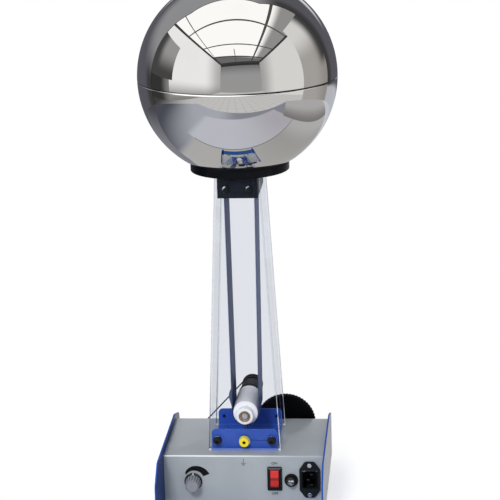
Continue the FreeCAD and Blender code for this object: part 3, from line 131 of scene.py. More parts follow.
class Paint:
    """The node tree of one material or of the world, with a short way to add nodes."""

    def __init__(self, owner):
        owner.use_nodes = True
        self.owner = owner
        self.tree = owner.node_tree
        self.tree.nodes.clear()

    def node(self, kind, settings=None, *values, **named):
        """Add a node, set its own settings, then give its sockets numbers, colours or links."""
        node = self.tree.nodes.new(kind)
        for key, setting in (settings or {}).items():
            setattr(node, key, setting)
        pairs = list(enumerate(values)) + [(key.replace("_", " "), v) for key, v in named.items()]
        for key, value in pairs:
            self.plug(node.inputs[key], value)
        return node

    def plug(self, socket, value):
        """Link a value into a socket, or set the socket to a plain number or colour."""
        if isinstance(value, Value):
            value = value.socket
        if isinstance(value, bpy.types.NodeSocket):
            self.tree.links.new(value, socket)
        elif socket.type == "RGBA" and len(value) == 3:
            socket.default_value = (*value, 1.0)
        else:
            socket.default_value = value

    def number(self, kind, settings, *values, **named):
        """A node's first output as a value that takes part in sums."""
        return Value(self, self.node(kind, settings, *values, **named).outputs[0])

    def place(self):
        """Where a point lies on the piece, in metres in the object's own frame."""
        return self.node("ShaderNodeTexCoord").outputs["Object"]

    def axes(self, vector):
        """The three parts of a vector as values."""
        split = self.node("ShaderNodeSeparateXYZ", None, vector)
        return [Value(self, part) for part in split.outputs]

    def noise(self, size, detail=2.0, stretch=None):
        """Smooth noise about 0.5 whose grains are about size metres wide, and longer along an
        axis whose stretch is below 1."""
        where = self.place()
        if stretch:
            where = self.node("ShaderNodeMapping", None, where, Scale=stretch).outputs[0]
        return self.number("ShaderNodeTexNoise", None, where, Scale=1.0 / size, Detail=detail)

    def mix(self, share, low, high):
        """A colour between two colours."""
        node = self.node("ShaderNodeMix", {"data_type": "RGBA"})
        self.plug(node.inputs[0], share)
        self.plug(node.inputs[6], low)
        self.plug(node.inputs[7], high)
        return node.outputs[2]

    def bump(self, height, distance, strength=1.0):
        """A normal for a surface whose height varies, with distance in metres."""
        return self.node("ShaderNodeBump", None, Strength=strength, Distance=distance,
                         Height=height).outputs[0]

    def shader(self, colour, rough, **named):
        """A Principled surface."""
        return self.node("ShaderNodeBsdfPrincipled", None, Base_Color=colour, Roughness=rough,
                         **named)

    def blend(self, share, first, second):
        """A surface that passes from the first shader to the second as the share rises to 1."""
        return self.node("ShaderNodeMixShader", None, share, first.outputs[0], second.outputs[0])

    def glow(self, colour, strength=1.0):
        """A surface that only gives light."""
        return self.node("ShaderNodeEmission", None, Color=colour, Strength=strength)

    def facing(self):
        """0 where the surface is seen square on, 1 where it is seen edge on."""
        return Value(self, self.node("ShaderNodeLayerWeight", None, Blend=0.5).outputs["Facing"])

    def ray(self, *kinds):
        """1 for a ray of any of the kinds, such as Camera or Glossy, and 0 for any other."""
        path = self.node("ShaderNodeLightPath")
        masks = [Value(self, path.outputs["Is %s Ray" % kind]) for kind in kinds]
        return masks[0].most(masks[1]) if len(masks) > 1 else masks[0]

    def finish(self, surface):
        """Make a shader the tree's result."""
        kind = "ShaderNodeOutputWorld" if isinstance(self.owner, bpy.types.World) else \
            "ShaderNodeOutputMaterial"
        self.tree.links.new(surface.outputs[0], self.node(kind).inputs[0])
        return self.owner


def paint(name):
    return Paint(bpy.data.materials.new(name))


# ---------------------------------------------------------------- materials
def powder_coat(name, colour, rough, coat, grain, fold=None, gloss=0.12):
    """Baked powder paint: an even colour, a fine orange peel and a faint dusting. A fold is the
    front plane and the top plane that meet in it, and a painted highlight runs along it, fading
    out towards the right."""
    p = paint(name)
    peel = p.noise(0.0011, 1.0)
    cloud = p.noise(0.05, 3.0)
    dust = p.noise(0.00045, 1.0)
    shade = p.mix(cloud.fade(0.35, 0.7) * 0.5 + dust.fade(0.55, 0.75) * grain, colour,
                  [min(1.0, c * 1.16 + 0.008) for c in colour])
    if fold:
        x, y, z = p.axes(p.place())
        near_front = (y - fold[0]).size().fade(1.9 * MM, 0.9 * MM)
        near_top = (z - fold[1]).size().fade(1.9 * MM, 0.9 * MM)
        # painted highlight along the fold, fading out towards the right
        shade = p.mix(near_front * near_top * x.fade(0.10, -0.05) * 0.9, shade, (0.92, 0.94, 0.96))
    roughness = rough + (cloud - 0.5) * 0.12 + (dust - 0.5) * 0.06
    return p.finish(p.shader(shade, roughness, Normal=p.bump(peel, 0.00010, 0.3),
                             Coat_Weight=coat, Coat_Roughness=gloss, Coat_IOR=1.5,
                             Specular_IOR_Level=0.5))


def plate_coat(name, node, face, gloss, tail):
    """Powder paint on an end plate, one paint toned by face as painted light and shade: its
    right-hand face takes the tone face and the rest of the plate BLUE_EDGE. A gloss shows at a
    grazing sight, from the tail of the plate on or all over."""
    p = paint(name)
    x, y, z = p.axes(p.place())
    on_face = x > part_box(node)[1].x - 0.05 * MM
    peel = p.noise(0.0011, 1.0)
    # painted light and shade: the right-hand face in its own tone, the rest in BLUE_EDGE
    coat = p.shader(p.mix(on_face, BLUE_EDGE, face), 0.45, Normal=p.bump(peel, 0.00004, 0.15),
                    Specular_IOR_Level=0.10)
    sheen = p.shader((0.86, 0.91, 1.0), 0.22, Metallic=1.0)
    share = on_face * p.facing().fade(0.72, 0.92) * y.fade(tail, tail + 60 * MM) * gloss
    return p.finish(p.blend(share, coat, sheen))


def lit_heads(name, spread, height, radius, lean):
    """Dark screw heads or washers, a pair at plus and minus spread, each with a painted pale glint
    on its upper rim, moved to the left by the lean."""
    p = paint(name)
    x, y, z = p.axes(p.place())
    across = x + spread - (x > 0.0) * (2 * spread)
    up = z - height
    reach = (across * across + up * up).root()
    ring = reach.fade(radius * 0.45, radius * 0.60) * reach.fade(radius * 1.02, radius * 0.92)
    side = (up - across * lean).fade(radius * 0.55, radius * 0.95)
    broken = p.noise(0.0016, 2.0).fade(0.42, 0.52)
    # painted glint: pale on the upper rim, broken by noise
    shade = p.mix(ring * side * broken, (0.006, 0.007, 0.009), (0.60, 0.63, 0.68))
    return p.finish(p.shader(shade, 0.28, Specular_IOR_Level=0.25))


def socket_face(name, node):
    """Black moulding of the inlet with painted shade and a painted highlight: deeper black inside
    its mouth, and a paler line along the mouth's upper edge."""
    p = paint(name)
    x, y, z = p.axes(p.place())
    middle = centre_of(node)
    across, up = (x - middle[0]).size(), z - middle[2]
    mouth = (across < 10.4 * MM) * (up.size() < 11.4 * MM)
    rim = (up - 12.0 * MM).size().fade(0.9 * MM, 0.4 * MM) * (across < 9.6 * MM)
    # painted shade: darker inside the mouth
    shade = p.mix(mouth, (0.010, 0.013, 0.015), (0.0008, 0.0008, 0.0010))
    # painted highlight along the mouth's upper edge
    shade = p.mix(rim * 0.8, shade, (0.13, 0.15, 0.17))
    return p.finish(p.shader(shade, 0.45, Specular_IOR_Level=0.15))


def bezel(name, node):
    """Black moulding round the rocker with a painted highlight on its sloping upper edge."""
    p = paint(name)
    x, y, z = p.axes(p.place())
    low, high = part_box(node)
    drop = -(z - high.z)
    side = (x - (low.x + high.x) / 2).size() + drop * 0.8
    slope = drop.fade(0.3 * MM, 0.9 * MM) * drop.fade(3.4 * MM, 2.8 * MM)
    slope = slope * (side < (high.x - low.x) / 2)
    # painted highlight along the upper slope
    shade = p.mix(slope, (0.007, 0.009, 0.012), (0.085, 0.110, 0.120))
    return p.finish(p.shader(shade, 0.40, Specular_IOR_Level=0.2))


def plastic(name, colour, rough, coat=0.0, grain=0.0006, depth=0.00003, shine=0.5):
    """Moulded plastic: a fine spark texture and slight wear of the gloss."""
    p = paint(name)
    spark = p.noise(grain, 2.0)
    rub = p.noise(0.012, 3.0)
    shade = p.mix(rub.fade(0.5, 0.8) * 0.4, colour, [c * 1.2 + 0.006 for c in colour])
    return p.finish(p.shader(shade, rough + (rub - 0.5) * 0.14, Normal=p.bump(spark, depth, 0.6),
                             Coat_Weight=coat, Coat_Roughness=0.05, Specular_IOR_Level=shine))


def metal(name, colour, rough, grain=0.0009):
    """Bare or plated metal with fine marks."""
    p = paint(name)
    marks = p.noise(grain, 3.0)
    stain = p.noise(0.02, 3.0)
    shade = p.mix(stain.fade(0.45, 0.75) * 0.5, colour, [c * 0.86 for c in colour])
    return p.finish(p.shader(shade, rough + (marks - 0.5) * 0.16 + (stain - 0.5) * 0.08,
                             Metallic=1.0, Normal=p.bump(marks, 0.00002, 0.5)))


def turned_marks(name, colour, rough, centre, axis):
    """A surface off the lathe: rings about its own axis and along it."""
    pitch = 0.35 * MM
    p = paint(name)
    parts = p.axes(p.place())
    along = parts[axis]
    across = [(parts[i] - centre[i]) for i in range(3) if i != axis]
    radius = (across[0] * across[0] + across[1] * across[1]).root()
    rings = ((radius + along) * (2 * math.pi / pitch)).wave()
    stain = p.noise(0.006, 3.0)
    shade = p.mix(stain.fade(0.4, 0.75) * 0.5, colour, [c * 0.85 for c in colour])
    return p.finish(p.shader(shade, rough + rings * 0.03 + (stain - 0.5) * 0.1,
                             Metallic=1.0, Normal=p.bump(rings, 0.00002, 0.3)))


def clear_sheet(p, tint):
    """Clear acrylic without bending of light: tinted, with a sheen that grows towards a grazing
    sight."""
    through = p.node("ShaderNodeBsdfTransparent", None, Color=tint)
    lamplight = p.node("ShaderNodeBsdfTransparent", None, Color=(1.0, 1.0, 1.0))
    sheen = p.shader((0.90, 0.92, 0.95), 0.03, Metallic=1.0)
    sheet = p.blend(p.facing().power(5.0) * 0.18 + 0.003, through, sheen)
    return p.blend(p.ray("Shadow", "Diffuse"), sheet, lamplight)


def clear_plate(name, tint):
    """Plain cast acrylic or glass."""
    p = paint(name)
    return p.finish(clear_sheet(p, tint))


def acrylic_wall(name, node, over_tray):
    """A front or rear wall of the column: clear, with its two glued side edges drawn as painted
    lines, pale and faint high up, painted shade at the left foot and a bright, broken painted
    highlight at the right, and painted glints in the lower corners. Over the tray its foot carries
    a painted glow in the tray's blue."""
    low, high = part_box(node)
    mesh = frame["nodes"][node].data
    spots = np.empty(len(mesh.vertices) * 3)
    mesh.vertices.foreach_get("co", spots)
    spots = spots.reshape(-1, 3)
    top_half = np.abs(spots[spots[:, 2] > high.z - 0.5 * MM, 0]).max()
    p = paint(name)
    x, y, z = p.axes(p.place())
    half = (z - low.z) * ((top_half - high.x) / (high.z - low.z)) + high.x
    gap = half - x.size()
    foot = z.fade(0.20, 0.09)
    broken = p.noise(0.007, 2.0).fade(0.42, 0.58)
    # painted highlight on the right edge, broken by noise
    right = p.mix(broken, (0.30, 0.35, 0.45), (0.88, 0.90, 0.93))
    line = p.mix(foot, (0.55, 0.58, 0.65), p.mix(x > 0.0, (0.10, 0.12, 0.17), right))
    mask = gap.fade(1.2 * MM, 0.5 * MM) * (foot * 0.45 + 0.30)
    # painted glints in the lower corners
    corner_glint = (gap < 3.0 * MM) * (z < low.z + 2.0 * MM)
    shade = p.mix(corner_glint, line, (0.86, 0.88, 0.92))
    mask = mask.most(corner_glint * 0.85)
    if over_tray:
        # painted glow in the tray's blue along the foot
        glow = (gap > 3.0 * MM) * (z < low.z + 2.2 * MM)
        shade = p.mix(glow, shade, (0.17, 0.27, 0.76))
        mask = mask.most(glow * 0.85)
    return p.finish(p.blend(mask, clear_sheet(p, CLEAR), p.shader(shade, 0.35)))


def mirror(name):
    """Spun steel polished to a mirror: faint spinning rings, haze and a few smears, with a painted
    dark line of shade along the seam and under it a painted highlight that also glows.
    """
    p = paint(name)
    x, y, z = p.axes(p.place())
    rings = p.noise(0.0016, 2.0, stretch=(0.02, 0.02, 1.0))
    smear = p.noise(0.045, 3.0)
    haze = smear.fade(0.5, 0.85)
    shade = p.mix(haze * 0.5, (0.80, 0.79, 0.775), (0.74, 0.735, 0.73))
    # painted shade: a dark line along the seam, wider towards the right
    wide = x.fade(0.0, 0.03) * (0.5 * MM)
    lap = ((z - (seam_z + 0.1 * MM)).size() - wide).fade(0.60 * MM, 0.35 * MM)
    shade = p.mix(lap * 0.9, shade, (0.02, 0.02, 0.02))
    # painted highlight just under the seam
    seam_highlight = (z - (seam_z - 1.25 * MM)).size().fade(0.80 * MM, 0.50 * MM)
    shade = p.mix(seam_highlight * 0.4, shade, (1.0, 1.0, 1.0))
    # the painted highlight also glows by emission between x = -85 and 35 mm
    lit = p.mix(seam_highlight * x.fade(0.035, 0.008) * x.fade(-0.085, -0.050), (0.0, 0.0, 0.0),
                (0.62, 0.62, 0.62))
    return p.finish(p.shader(shade, 0.012 + haze * 0.035, Metallic=1.0, Emission_Color=lit,
                             Emission_Strength=1.0,
                             Normal=p.bump(rings, 0.000004, 0.25)))


def belt_surface(name, middle):
    """Smooth rubber strip, dusty in its middle where it runs on the rollers, and darker near the
    tray than high in the column."""
    p = paint(name)
    x, y, z = p.axes(p.place())
    track = (y - middle).size().fade(0.024, 0.008)
    cloud = p.noise(0.02, 3.0)
    calender = p.noise(0.0007, 2.0)
    height = z.fade(0.11, 0.22)
    dull = p.mix(height, (0.016, 0.043, 0.160), (0.110, 0.150, 0.300))
    dusty = p.mix(height, (0.034, 0.073, 0.230), (0.175, 0.225, 0.410))
    shade = p.mix(track * 0.35 + cloud.fade(0.35, 0.8) * 0.3, dull, dusty)
    return p.finish(p.shader(shade, 0.46 + (cloud - 0.5) * 0.15,
                             Normal=p.bump(calender, 0.00003, 0.4), Coat_Weight=0.10,
                             Coat_Roughness=0.3))


def red_lens(name, low, high):
    """Translucent red moulding in two halves, in painted light and shade: the upper one painted
    bright, a painted dark band of shade across the middle, and the lower one duller and darkest at
    its foot."""
    p = paint(name)
    x, y, z = p.axes(p.place())
    share = (z - low) / (high - low)
    ribs = (z * (2 * math.pi / 0.0016)).wave()
    # painted light and shade: a bright upper half, a duller lower half darkest at its foot
    shade = p.mix(share.fade(0.02, 0.20), (0.12, 0.001, 0.003), (0.46, 0.010, 0.008))
    shade = p.mix(share.fade(0.54, 0.60), shade, (0.66, 0.014, 0.010))
    # painted shade: a dark band across the middle
    band = share.fade(0.40, 0.44) * share.fade(0.60, 0.55)
    shade = p.mix(band, shade, (0.24, 0.002, 0.002))
    return p.finish(p.shader(shade, 0.22 + ribs * 0.02, Coat_Weight=0.5, Coat_Roughness=0.08,
                             Normal=p.bump(ribs, 0.00002, 0.2)))


def slotted_face(name, centre, face):
    """Black moulding whose outer face is dished; in its middle, less the slot, it carries broken
    painted pale glints, a painted reflection."""
    p = paint(name)
    x, y, z = p.axes(p.place())
    glint = p.noise(0.0030, 2.0).fade(0.50, 0.60)
    across, up = x - centre[0], z - centre[2]
    dish = (across * across + up * up).root().fade(4.6 * MM, 4.0 * MM)
    # painted reflection: broken pale glints in the middle of the face
    polished = p.mix(glint, (0.05, 0.06, 0.08), (0.50, 0.54, 0.60))
    shade = p.mix((y < face + 0.45 * MM) * dish, BLACK, polished)
    return p.finish(p.shader(shade, 0.22))


def two_tone(name, front, back, split):
    """A knob moulded in two colours, parted at a plane across its axis. The front one has painted
    shade in its grooves, and the back one is glossy."""
    p = paint(name)
    x, y, z = p.axes(p.place())
    grain = p.noise(0.0007, 2.0)
    edge = 0.2 * MM
    share = y.fade(split - edge, split + edge)
    turn = (z - knob[2]).math("ARCTAN2", x - knob[0])
    # painted shade in the grooves between the flutes
    groove_shade = (turn * 16.0 + math.pi / 2).wave().fade(0.1, 0.75)
    fluted = p.mix(groove_shade, front, (0.085, 0.092, 0.115))
    rough = 0.46 + (grain - 0.5) * 0.1 - share * 0.26
    return p.finish(p.shader(p.mix(share, fluted, back), rough,
                             Normal=p.bump(grain, 0.00002, 0.4)))


def board(name):
    """Glass epoxy board: green lacquer over copper tracks."""
    p = paint(name)
    x, y, z = p.axes(p.place())
    rows = (x * (2 * math.pi / (4.0 * MM))).wave()
    columns = (y * (2 * math.pi / (7.5 * MM))).wave()
    track = (rows + columns).fade(0.8, 0.9)
    shade = p.mix(track, (0.02, 0.13, 0.05), (0.05, 0.24, 0.10))
    return p.finish(p.shader(shade, 0.35, Coat_Weight=0.4, Coat_Roughness=0.1,
                             Normal=p.bump(track, 0.00004, 0.5)))


def ink(name, colour):
    """Screen printing on the paint."""
    p = paint(name)
    grain = p.noise(0.0002, 1.0)
    return p.finish(p.shader(p.mix(grain * 0.3, colour, [c * 1.3 + 0.004 for c in colour]), 0.6,
                             Specular_IOR_Level=0.2))


def centre_of(node):
    """The middle of a node's box."""
    low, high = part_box(node)
    return [(a + b) / 2 for a, b in zip(low, high)]


dome_low, dome_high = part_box("dome_upper_shell")
rim_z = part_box("dome_lower_shell")[0].z
dome_radius = dome_high.x
dome_z = dome_high.z - dome_radius
seam_z = dome_low.z
GREY = (0.330, 0.365, 0.395)
BLUE = (0.020, 0.082, 0.450)
BLACK = (0.007, 0.007, 0.008)
# a darker copy of BLUE for the end plates, beside the face given its own tone: painted shade
BLUE_EDGE = (0.014, 0.066, 0.360)
CLEAR = (0.93, 0.938, 0.952)
chassis_low, chassis_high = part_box("chassis_cover")
knob_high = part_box("speed_knob")[1]
knob_skirt = 3.6 * MM
knob = centre_of("speed_knob")
rocker_low, rocker_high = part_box("switch_rocker")
washer_low, washer_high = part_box("column_washers")
washer_radius = (washer_high.z - washer_low.z) / 2
head_screw_spread = 14.5 * MM
head_screw_radius = 4.3 * MM

looks = {
    "grey_paint": powder_coat("grey_powder_coat", GREY, 0.34, 0.6, 0.4,
                              (chassis_low.y, chassis_high.z), 0.10),
    "blue_paint": powder_coat("blue_powder_coat", BLUE, 0.36, 0.3, 0.2, None, 0.10),
    "bright_zinc": metal("zinc_plate", (0.62, 0.63, 0.66), 0.38, 0.004),
    "black_rubber": plastic("foot_rubber", (0.018, 0.018, 0.019), 0.75, 0.0, 0.0008, 0.00008),
    "clear_acrylic": clear_plate("cast_acrylic", CLEAR),
    "black_screws": metal("black_oxide", (0.040, 0.040, 0.044), 0.30),
    "bright_steel": metal("nickel_plate", (0.78, 0.78, 0.77), 0.18),
    "yellow_plastic": plastic("yellow_moulding", (0.86, 0.70, 0.010), 0.28, 0.3),
    "white_nylon": plastic("turned_nylon", (0.93, 0.94, 0.97), 0.42, 0.1, 0.0004),
    "brass": metal("turned_brass", (0.62, 0.40, 0.15), 0.24),
    "turned_steel": metal("turned_steel", (0.60, 0.60, 0.60), 0.28),
    "black_plastic": plastic("black_moulding", BLACK, 0.38, 0.0, shine=0.22),
    "belt_rubber": belt_surface("belt_rubber", centre_of("charging_belt")[1]),
    "cord_rubber": plastic("cord_rubber", (0.003, 0.014, 0.015), 0.55, 0.0, 0.0003),
    "black_gloss": plastic("polished_black_acrylic", (0.0025, 0.0035, 0.0055), 0.14, 0.0, 0.003,
                           0.000004, 0.10),
    "polished_dome": mirror("mirror_steel"),
    "clear_head": plastic("white_acetal", (0.78, 0.78, 0.79), 0.38, 0.1),
    "motor_steel": plastic("motor_enamel", (0.030, 0.031, 0.033), 0.35, 0.3),
    "board_green": board("circuit_board"),
    "cap_grey": plastic("grey_moulding", (0.25, 0.26, 0.30), 0.50),
    "red_plastic": red_lens("red_lens", rocker_low.z, rocker_high.z),
    "fuse_glass": clear_plate("fuse_tube", (0.93, 0.95, 0.95)),
}
finish_of = {
    # the left plate's inner face is painted a darker navy: painted shade
    "left_end_plate": plate_coat("left_blue_coat", "left_end_plate", (0.006, 0.034, 0.180),
                                 0.45, 0.02),
    "right_end_plate": plate_coat("right_blue_coat", "right_end_plate", BLUE, 0.92, -1.0),
    # a near-black metal for the dome's seat
    "dome_seat": metal("dark_seat", (0.018, 0.018, 0.020), 0.40),
    "crank_wheel": plastic("wheel_moulding", (0.0012, 0.0014, 0.0024), 0.45, 0.0, shine=0.10),
    "mains_inlet": socket_face("inlet_moulding", "mains_inlet"),
    "switch_housing": bezel("bezel_moulding", "switch_housing"),
    "column_washers": lit_heads("dark_washers", washer_high.x - washer_radius,
                                washer_high.z - washer_radius, washer_radius, 0.0),
    "column_front_wall": acrylic_wall("front_acrylic", "column_front_wall", True),
    "column_rear_wall": acrylic_wall("rear_acrylic", "column_rear_wall", False),
    "speed_knob": two_tone("knob_moulding", (0.26, 0.27, 0.31), (0.004, 0.006, 0.010),
                           knob_high.y - knob_skirt),
    "fuse_cap": slotted_face("fuse_cap_moulding", centre_of("fuse_cap"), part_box("fuse_cap")[0].y),
    "head_block": plastic("navy_block", (0.008, 0.012, 0.021), 0.35, 0.0, 0.003, 0.000004, 0.15),
    "head_screws": lit_heads("dark_heads", head_screw_spread, centre_of("head_screws")[2],
                             head_screw_radius, 1.0),
    # the pins are painted dark: painted shade of the inlet's mouth
    "inlet_pins": metal("nickel_in_painted_shade", (0.06, 0.06, 0.062), 0.30),
    "lower_comb": metal("comb_strip", (0.60, 0.57, 0.50), 0.25),
    "roller_end_ring": turned_marks("ring_brass", (0.62, 0.44, 0.27), 0.18,
                                    centre_of("roller_end_ring"), 1),
    "lower_roller_shaft": turned_marks("shaft_steel", (0.85, 0.86, 0.88), 0.22,
                                       centre_of("lower_roller_shaft"), 1),
}
black_ink = ink("black_print", (0.004, 0.004, 0.005))
pale_ink = ink("pale_print", (0.72, 0.72, 0.72))


# ---------------------------------------------------------------- building blocks
def piece(name, mesh, body, slot, replaced=(), material=None, crease=35.0):
    """Put a finished mesh into the scene, smooth up to a crease angle, on its CAD body."""
    mesh.validate()
    mesh.shade_smooth()
    mesh.set_sharp_from_angle(angle=math.radians(crease))
    obj = bpy.data.objects.new(name, mesh)
    bpy.context.scene.collection.objects.link(obj)
    mesh.materials.clear()
    mesh.materials.append(material or looks[slot])
    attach(obj, body)
    for node in replaced:
        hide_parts(node)
    return obj


def grid_mesh(name, points, loop_u=False, loop_v=False):
    """A mesh over a grid of points, (rows, columns, 3), whose last row or column may join the
    first. Points that coincide, such as those at a pole, are merged, and faces point outwards."""
    rows, columns = points.shape[:2]
    u = np.arange(rows if loop_u else rows - 1)
    v = np.arange(columns if loop_v else columns - 1)
    a = (u[:, None] * columns + v[None, :]).ravel()
    b = (u[:, None] * columns + (v[None, :] + 1) % columns).ravel()
    c = (((u[:, None] + 1) % rows) * columns + (v[None, :] + 1) % columns).ravel()
    d = (((u[:, None] + 1) % rows) * columns + v[None, :]).ravel()
    mesh = bpy.data.meshes.new(name)
    mesh.from_pydata(points.reshape(-1, 3), [], np.stack([a, b, c, d], axis=1).tolist())
    return closed(mesh)


def mesh_of(work, name):
    """A new mesh from finished mesh work."""
    mesh = bpy.data.meshes.new(name)
    work.to_mesh(mesh)
    work.free()
    return mesh


def prism(work, front, back):
    """Join two outlines of as many points by two end faces and the walls between them."""
    front, back = ([work.verts.new(v) for v in line] for line in (front, back))
    work.faces.new(front)
    work.faces.new(back[::-1])
    for i in range(len(front)):
        j = (i + 1) % len(front)
        work.faces.new([front[j], front[i], back[i], back[j]])


def closed(mesh):
    """Merge coincident points, drop faces without area and turn the faces outwards."""
    work = bmesh.new()
    work.from_mesh(mesh)
    bmesh.ops.remove_doubles(work, verts=work.verts, dist=1e-7)
    bmesh.ops.dissolve_degenerate(work, edges=work.edges, dist=1e-8)
    bmesh.ops.recalc_face_normals(work, faces=work.faces)
    work.to_mesh(mesh)
    work.free()
    return mesh


def rounded(corners, steps=6):
    """An outline through (u, v, radius) corners: each corner is replaced by an arc that touches
    both of its sides, drawn as a blend of the two tangent points about the arc's centre."""
    corners = [(*c, 0.0)[:3] for c in corners]
    line = []
    for i, (u, v, radius) in enumerate(corners):
        here = np.array([u, v])
        if radius <= 0:
            line.append(here)
            continue
        back = np.array(corners[i - 1][:2]) - here
        ahead = np.array(corners[(i + 1) % len(corners)][:2]) - here
        back /= np.linalg.norm(back)
        ahead /= np.linalg.norm(ahead)
        half = math.acos(np.clip(back @ ahead, -1, 1)) / 2
        middle = here + (back + ahead) / np.linalg.norm(back + ahead) * radius / math.sin(half)
        start = here + back * radius / math.tan(half) - middle
        turn = math.pi - 2 * half
        if start[0] * ahead[1] - start[1] * ahead[0] < 0:
            turn = -turn
        angle = np.linspace(0, turn, steps + 1)
        line.extend(middle + np.stack([start[0] * np.cos(angle) - start[1] * np.sin(angle),
                                       start[0] * np.sin(angle) + start[1] * np.cos(angle)], 1))
    return np.array(line)


def turned(name, outline, origin, axis, segments=96):
    """Turn a closed (radius, height) outline about an axis: at angle t the point is
    origin + radius * (cos t * side + sin t * other side) + height * axis."""
    outline = np.asarray(outline, float)
    axis = np.array(axis, float)
    side = np.cross(axis, (1.0, 0.0, 0.0) if abs(axis[0]) < 0.5 else (0.0, 1.0, 0.0))
    side /= np.linalg.norm(side)
    other = np.cross(axis, side)
    t = np.linspace(0, 2 * math.pi, segments, endpoint=False)[:, None, None]
    radius, height = outline[None, :, 0, None], outline[None, :, 1, None]
    points = np.array(origin) + radius * (np.cos(t) * side + np.sin(t) * other) + height * axis
    return grid_mesh(name, points, loop_u=True, loop_v=True)


def dressed(node, edge):
    """A copy of a CAD node's mesh with its coincident points merged, its flat faces whole, and
    its edges eased by a small bevel, so that they catch the light as real edges do."""
    source = frame["nodes"][node]
    mesh = source.data.copy()
    mesh.name = node + "_finish"
    work = bmesh.new()
    work.from_mesh(mesh)
    bmesh.ops.remove_doubles(work, verts=work.verts, dist=1e-6)
    bmesh.ops.dissolve_limit(work, angle_limit=math.radians(0.8), verts=work.verts,
                             edges=work.edges)
    work.to_mesh(mesh)
    work.free()
    body = source["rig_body"]
    found = [s["material_slot"] for s in frame["record"]["subparts"] if s["node"] == node]
    obj = piece(mesh.name, mesh, body, found[0], [node], finish_of.get(node))
    bevel = obj.modifiers.new("eased", "BEVEL")
    bevel.width = edge
    bevel.segments = 2
    bevel.limit_method = "ANGLE"
    bevel.angle_limit = math.radians(40)
    bevel.harden_normals = True
    return obj


# ---------------------------------------------------------------- dome
dome_sheet = 0.8 * MM
dome_mouth = 59.0 * MM
dome_bend = 3.0 * MM
dome_flat = 62.8 * MM


def dome_arc(radius, low, high, count):
    """Points on the sphere's outline between two heights, evenly spaced in angle."""
    angle = np.linspace(math.asin(np.clip((low - dome_z) / radius, -1, 1)),
                        math.asin(np.clip((high - dome_z) / radius, -1, 1)), count)
    return np.stack([radius * np.cos(angle), dome_z + radius * np.sin(angle)], axis=1)


def roll(centre, radius, start, end, count=8):
    """An arc of an outline about a centre, between two angles in degrees."""
    angle = np.radians(np.linspace(start, end, count))
    return np.stack([centre[0] + radius * np.cos(angle), centre[1] + radius * np.sin(angle)], 1)


def upper_shell():
    """The upper half: outside from the rolled lower edge to the pole, then back inside."""
    lip = 0.6 * MM
    outer = dome_arc(dome_radius, seam_z + lip, dome_high.z, 120)
    edge_radius = outer[0, 0]
    edge = roll((edge_radius - lip, seam_z + lip), lip, -88, -2)
    inner = dome_arc(dome_radius - dome_sheet, seam_z + lip, dome_high.z - dome_sheet, 60)[::-1]
    outer[-1, 0] = inner[0, 0] = 0.0
    return turned("dome_upper_skin", np.vstack([edge, outer, inner]), (0, 0, 0), (0, 0, 1), 256)


def lower_shell():
    """The lower half: a flat rim turned in round the mouth, a bend, the bowl, and at the top a
    shoulder that steps in under the upper half."""
    shoulder = 1.7 * MM
    lap = 5.5 * MM
    bowl_start = rim_z + 4 * MM
    top = seam_z - 0.45 * MM
    fit = 0.12 * MM
    outer = dome_arc(dome_radius, bowl_start, top - shoulder, 110)
    corner = rounded([(dome_mouth, rim_z), (dome_flat, rim_z, dome_bend), tuple(outer[0])], 12)
    turn = roll((outer[-1, 0] - shoulder, top - shoulder), shoulder, 2, 82)
    step = dome_radius - dome_sheet - fit
    inset = dome_arc(step, seam_z + 0.4 * MM, seam_z + lap, 6)
    back = dome_arc(step - dome_sheet, bowl_start, seam_z + lap, 60)[::-1]
    floor = np.array([(dome_flat, rim_z + dome_sheet), (dome_mouth, rim_z + dome_sheet)])
    start = np.array([(dome_mouth, rim_z)])
    outline = np.vstack([start, corner[1:-1], outer, turn, inset, back, floor])
    return turned("dome_lower_skin", outline, (0, 0, 0), (0, 0, 1), 256)


piece("dome_upper_skin", upper_shell(), "dome", "polished_dome", ["dome_upper_shell"])
piece("dome_lower_skin", lower_shell(), "dome", "polished_dome", ["dome_lower_shell"])


# ---------------------------------------------------------------- belt and cord
def loop_line(centre_a, radius_a, centre_b, radius_b, count):
    """A belt line round two circles in the (x, z) plane, evenly spaced: an arc round each circle
    and the outer tangents between them. Returns points and outward normals."""
    a, b = np.array(centre_a), np.array(centre_b)
    span = np.linalg.norm(b - a)
    heading = math.atan2(b[1] - a[1], b[0] - a[0])
    lean = math.acos((radius_a - radius_b) / span)
    run = math.sqrt(span ** 2 - (radius_a - radius_b) ** 2)
    wrap_a = 2 * (math.pi - lean) * radius_a
    wrap_b = 2 * lean * radius_b
    total = wrap_a + wrap_b + 2 * run
    s = np.linspace(0, total, count, endpoint=False)
    in_a = s < wrap_a
    in_up = (s >= wrap_a) & (s < wrap_a + run)
    in_b = (s >= wrap_a + run) & (s < wrap_a + run + wrap_b)
    angle = np.where(in_a, heading + lean + s / radius_a, 0.0)
    angle = np.where(in_up, heading - lean, angle)
    angle = np.where(in_b, heading - lean + (s - wrap_a - run) / radius_b, angle)
    angle = np.where(s >= wrap_a + run + wrap_b, heading + lean, angle)
    normal = np.stack([np.cos(angle), np.sin(angle)], axis=1)
    along = np.where(in_up, (s - wrap_a) / run, 0.0)
    along = np.where(s >= wrap_a + run + wrap_b, 1 - (s - wrap_a - run - wrap_b) / run, along)
    along = np.where(in_b, 1.0, along)[:, None]
    radius = radius_a + (radius_b - radius_a) * along
    points = a + (b - a) * along + normal * radius
    return points, normal, total


belt_low, belt_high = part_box("charging_belt")
lower_axis = centre_of("lower_roller")[2]
upper_axis = centre_of("upper_roller")[2]
belt_outer_low = lower_axis - belt_low.z
belt_outer_high = belt_high.z - upper_axis
belt_sheet = 1.0 * MM


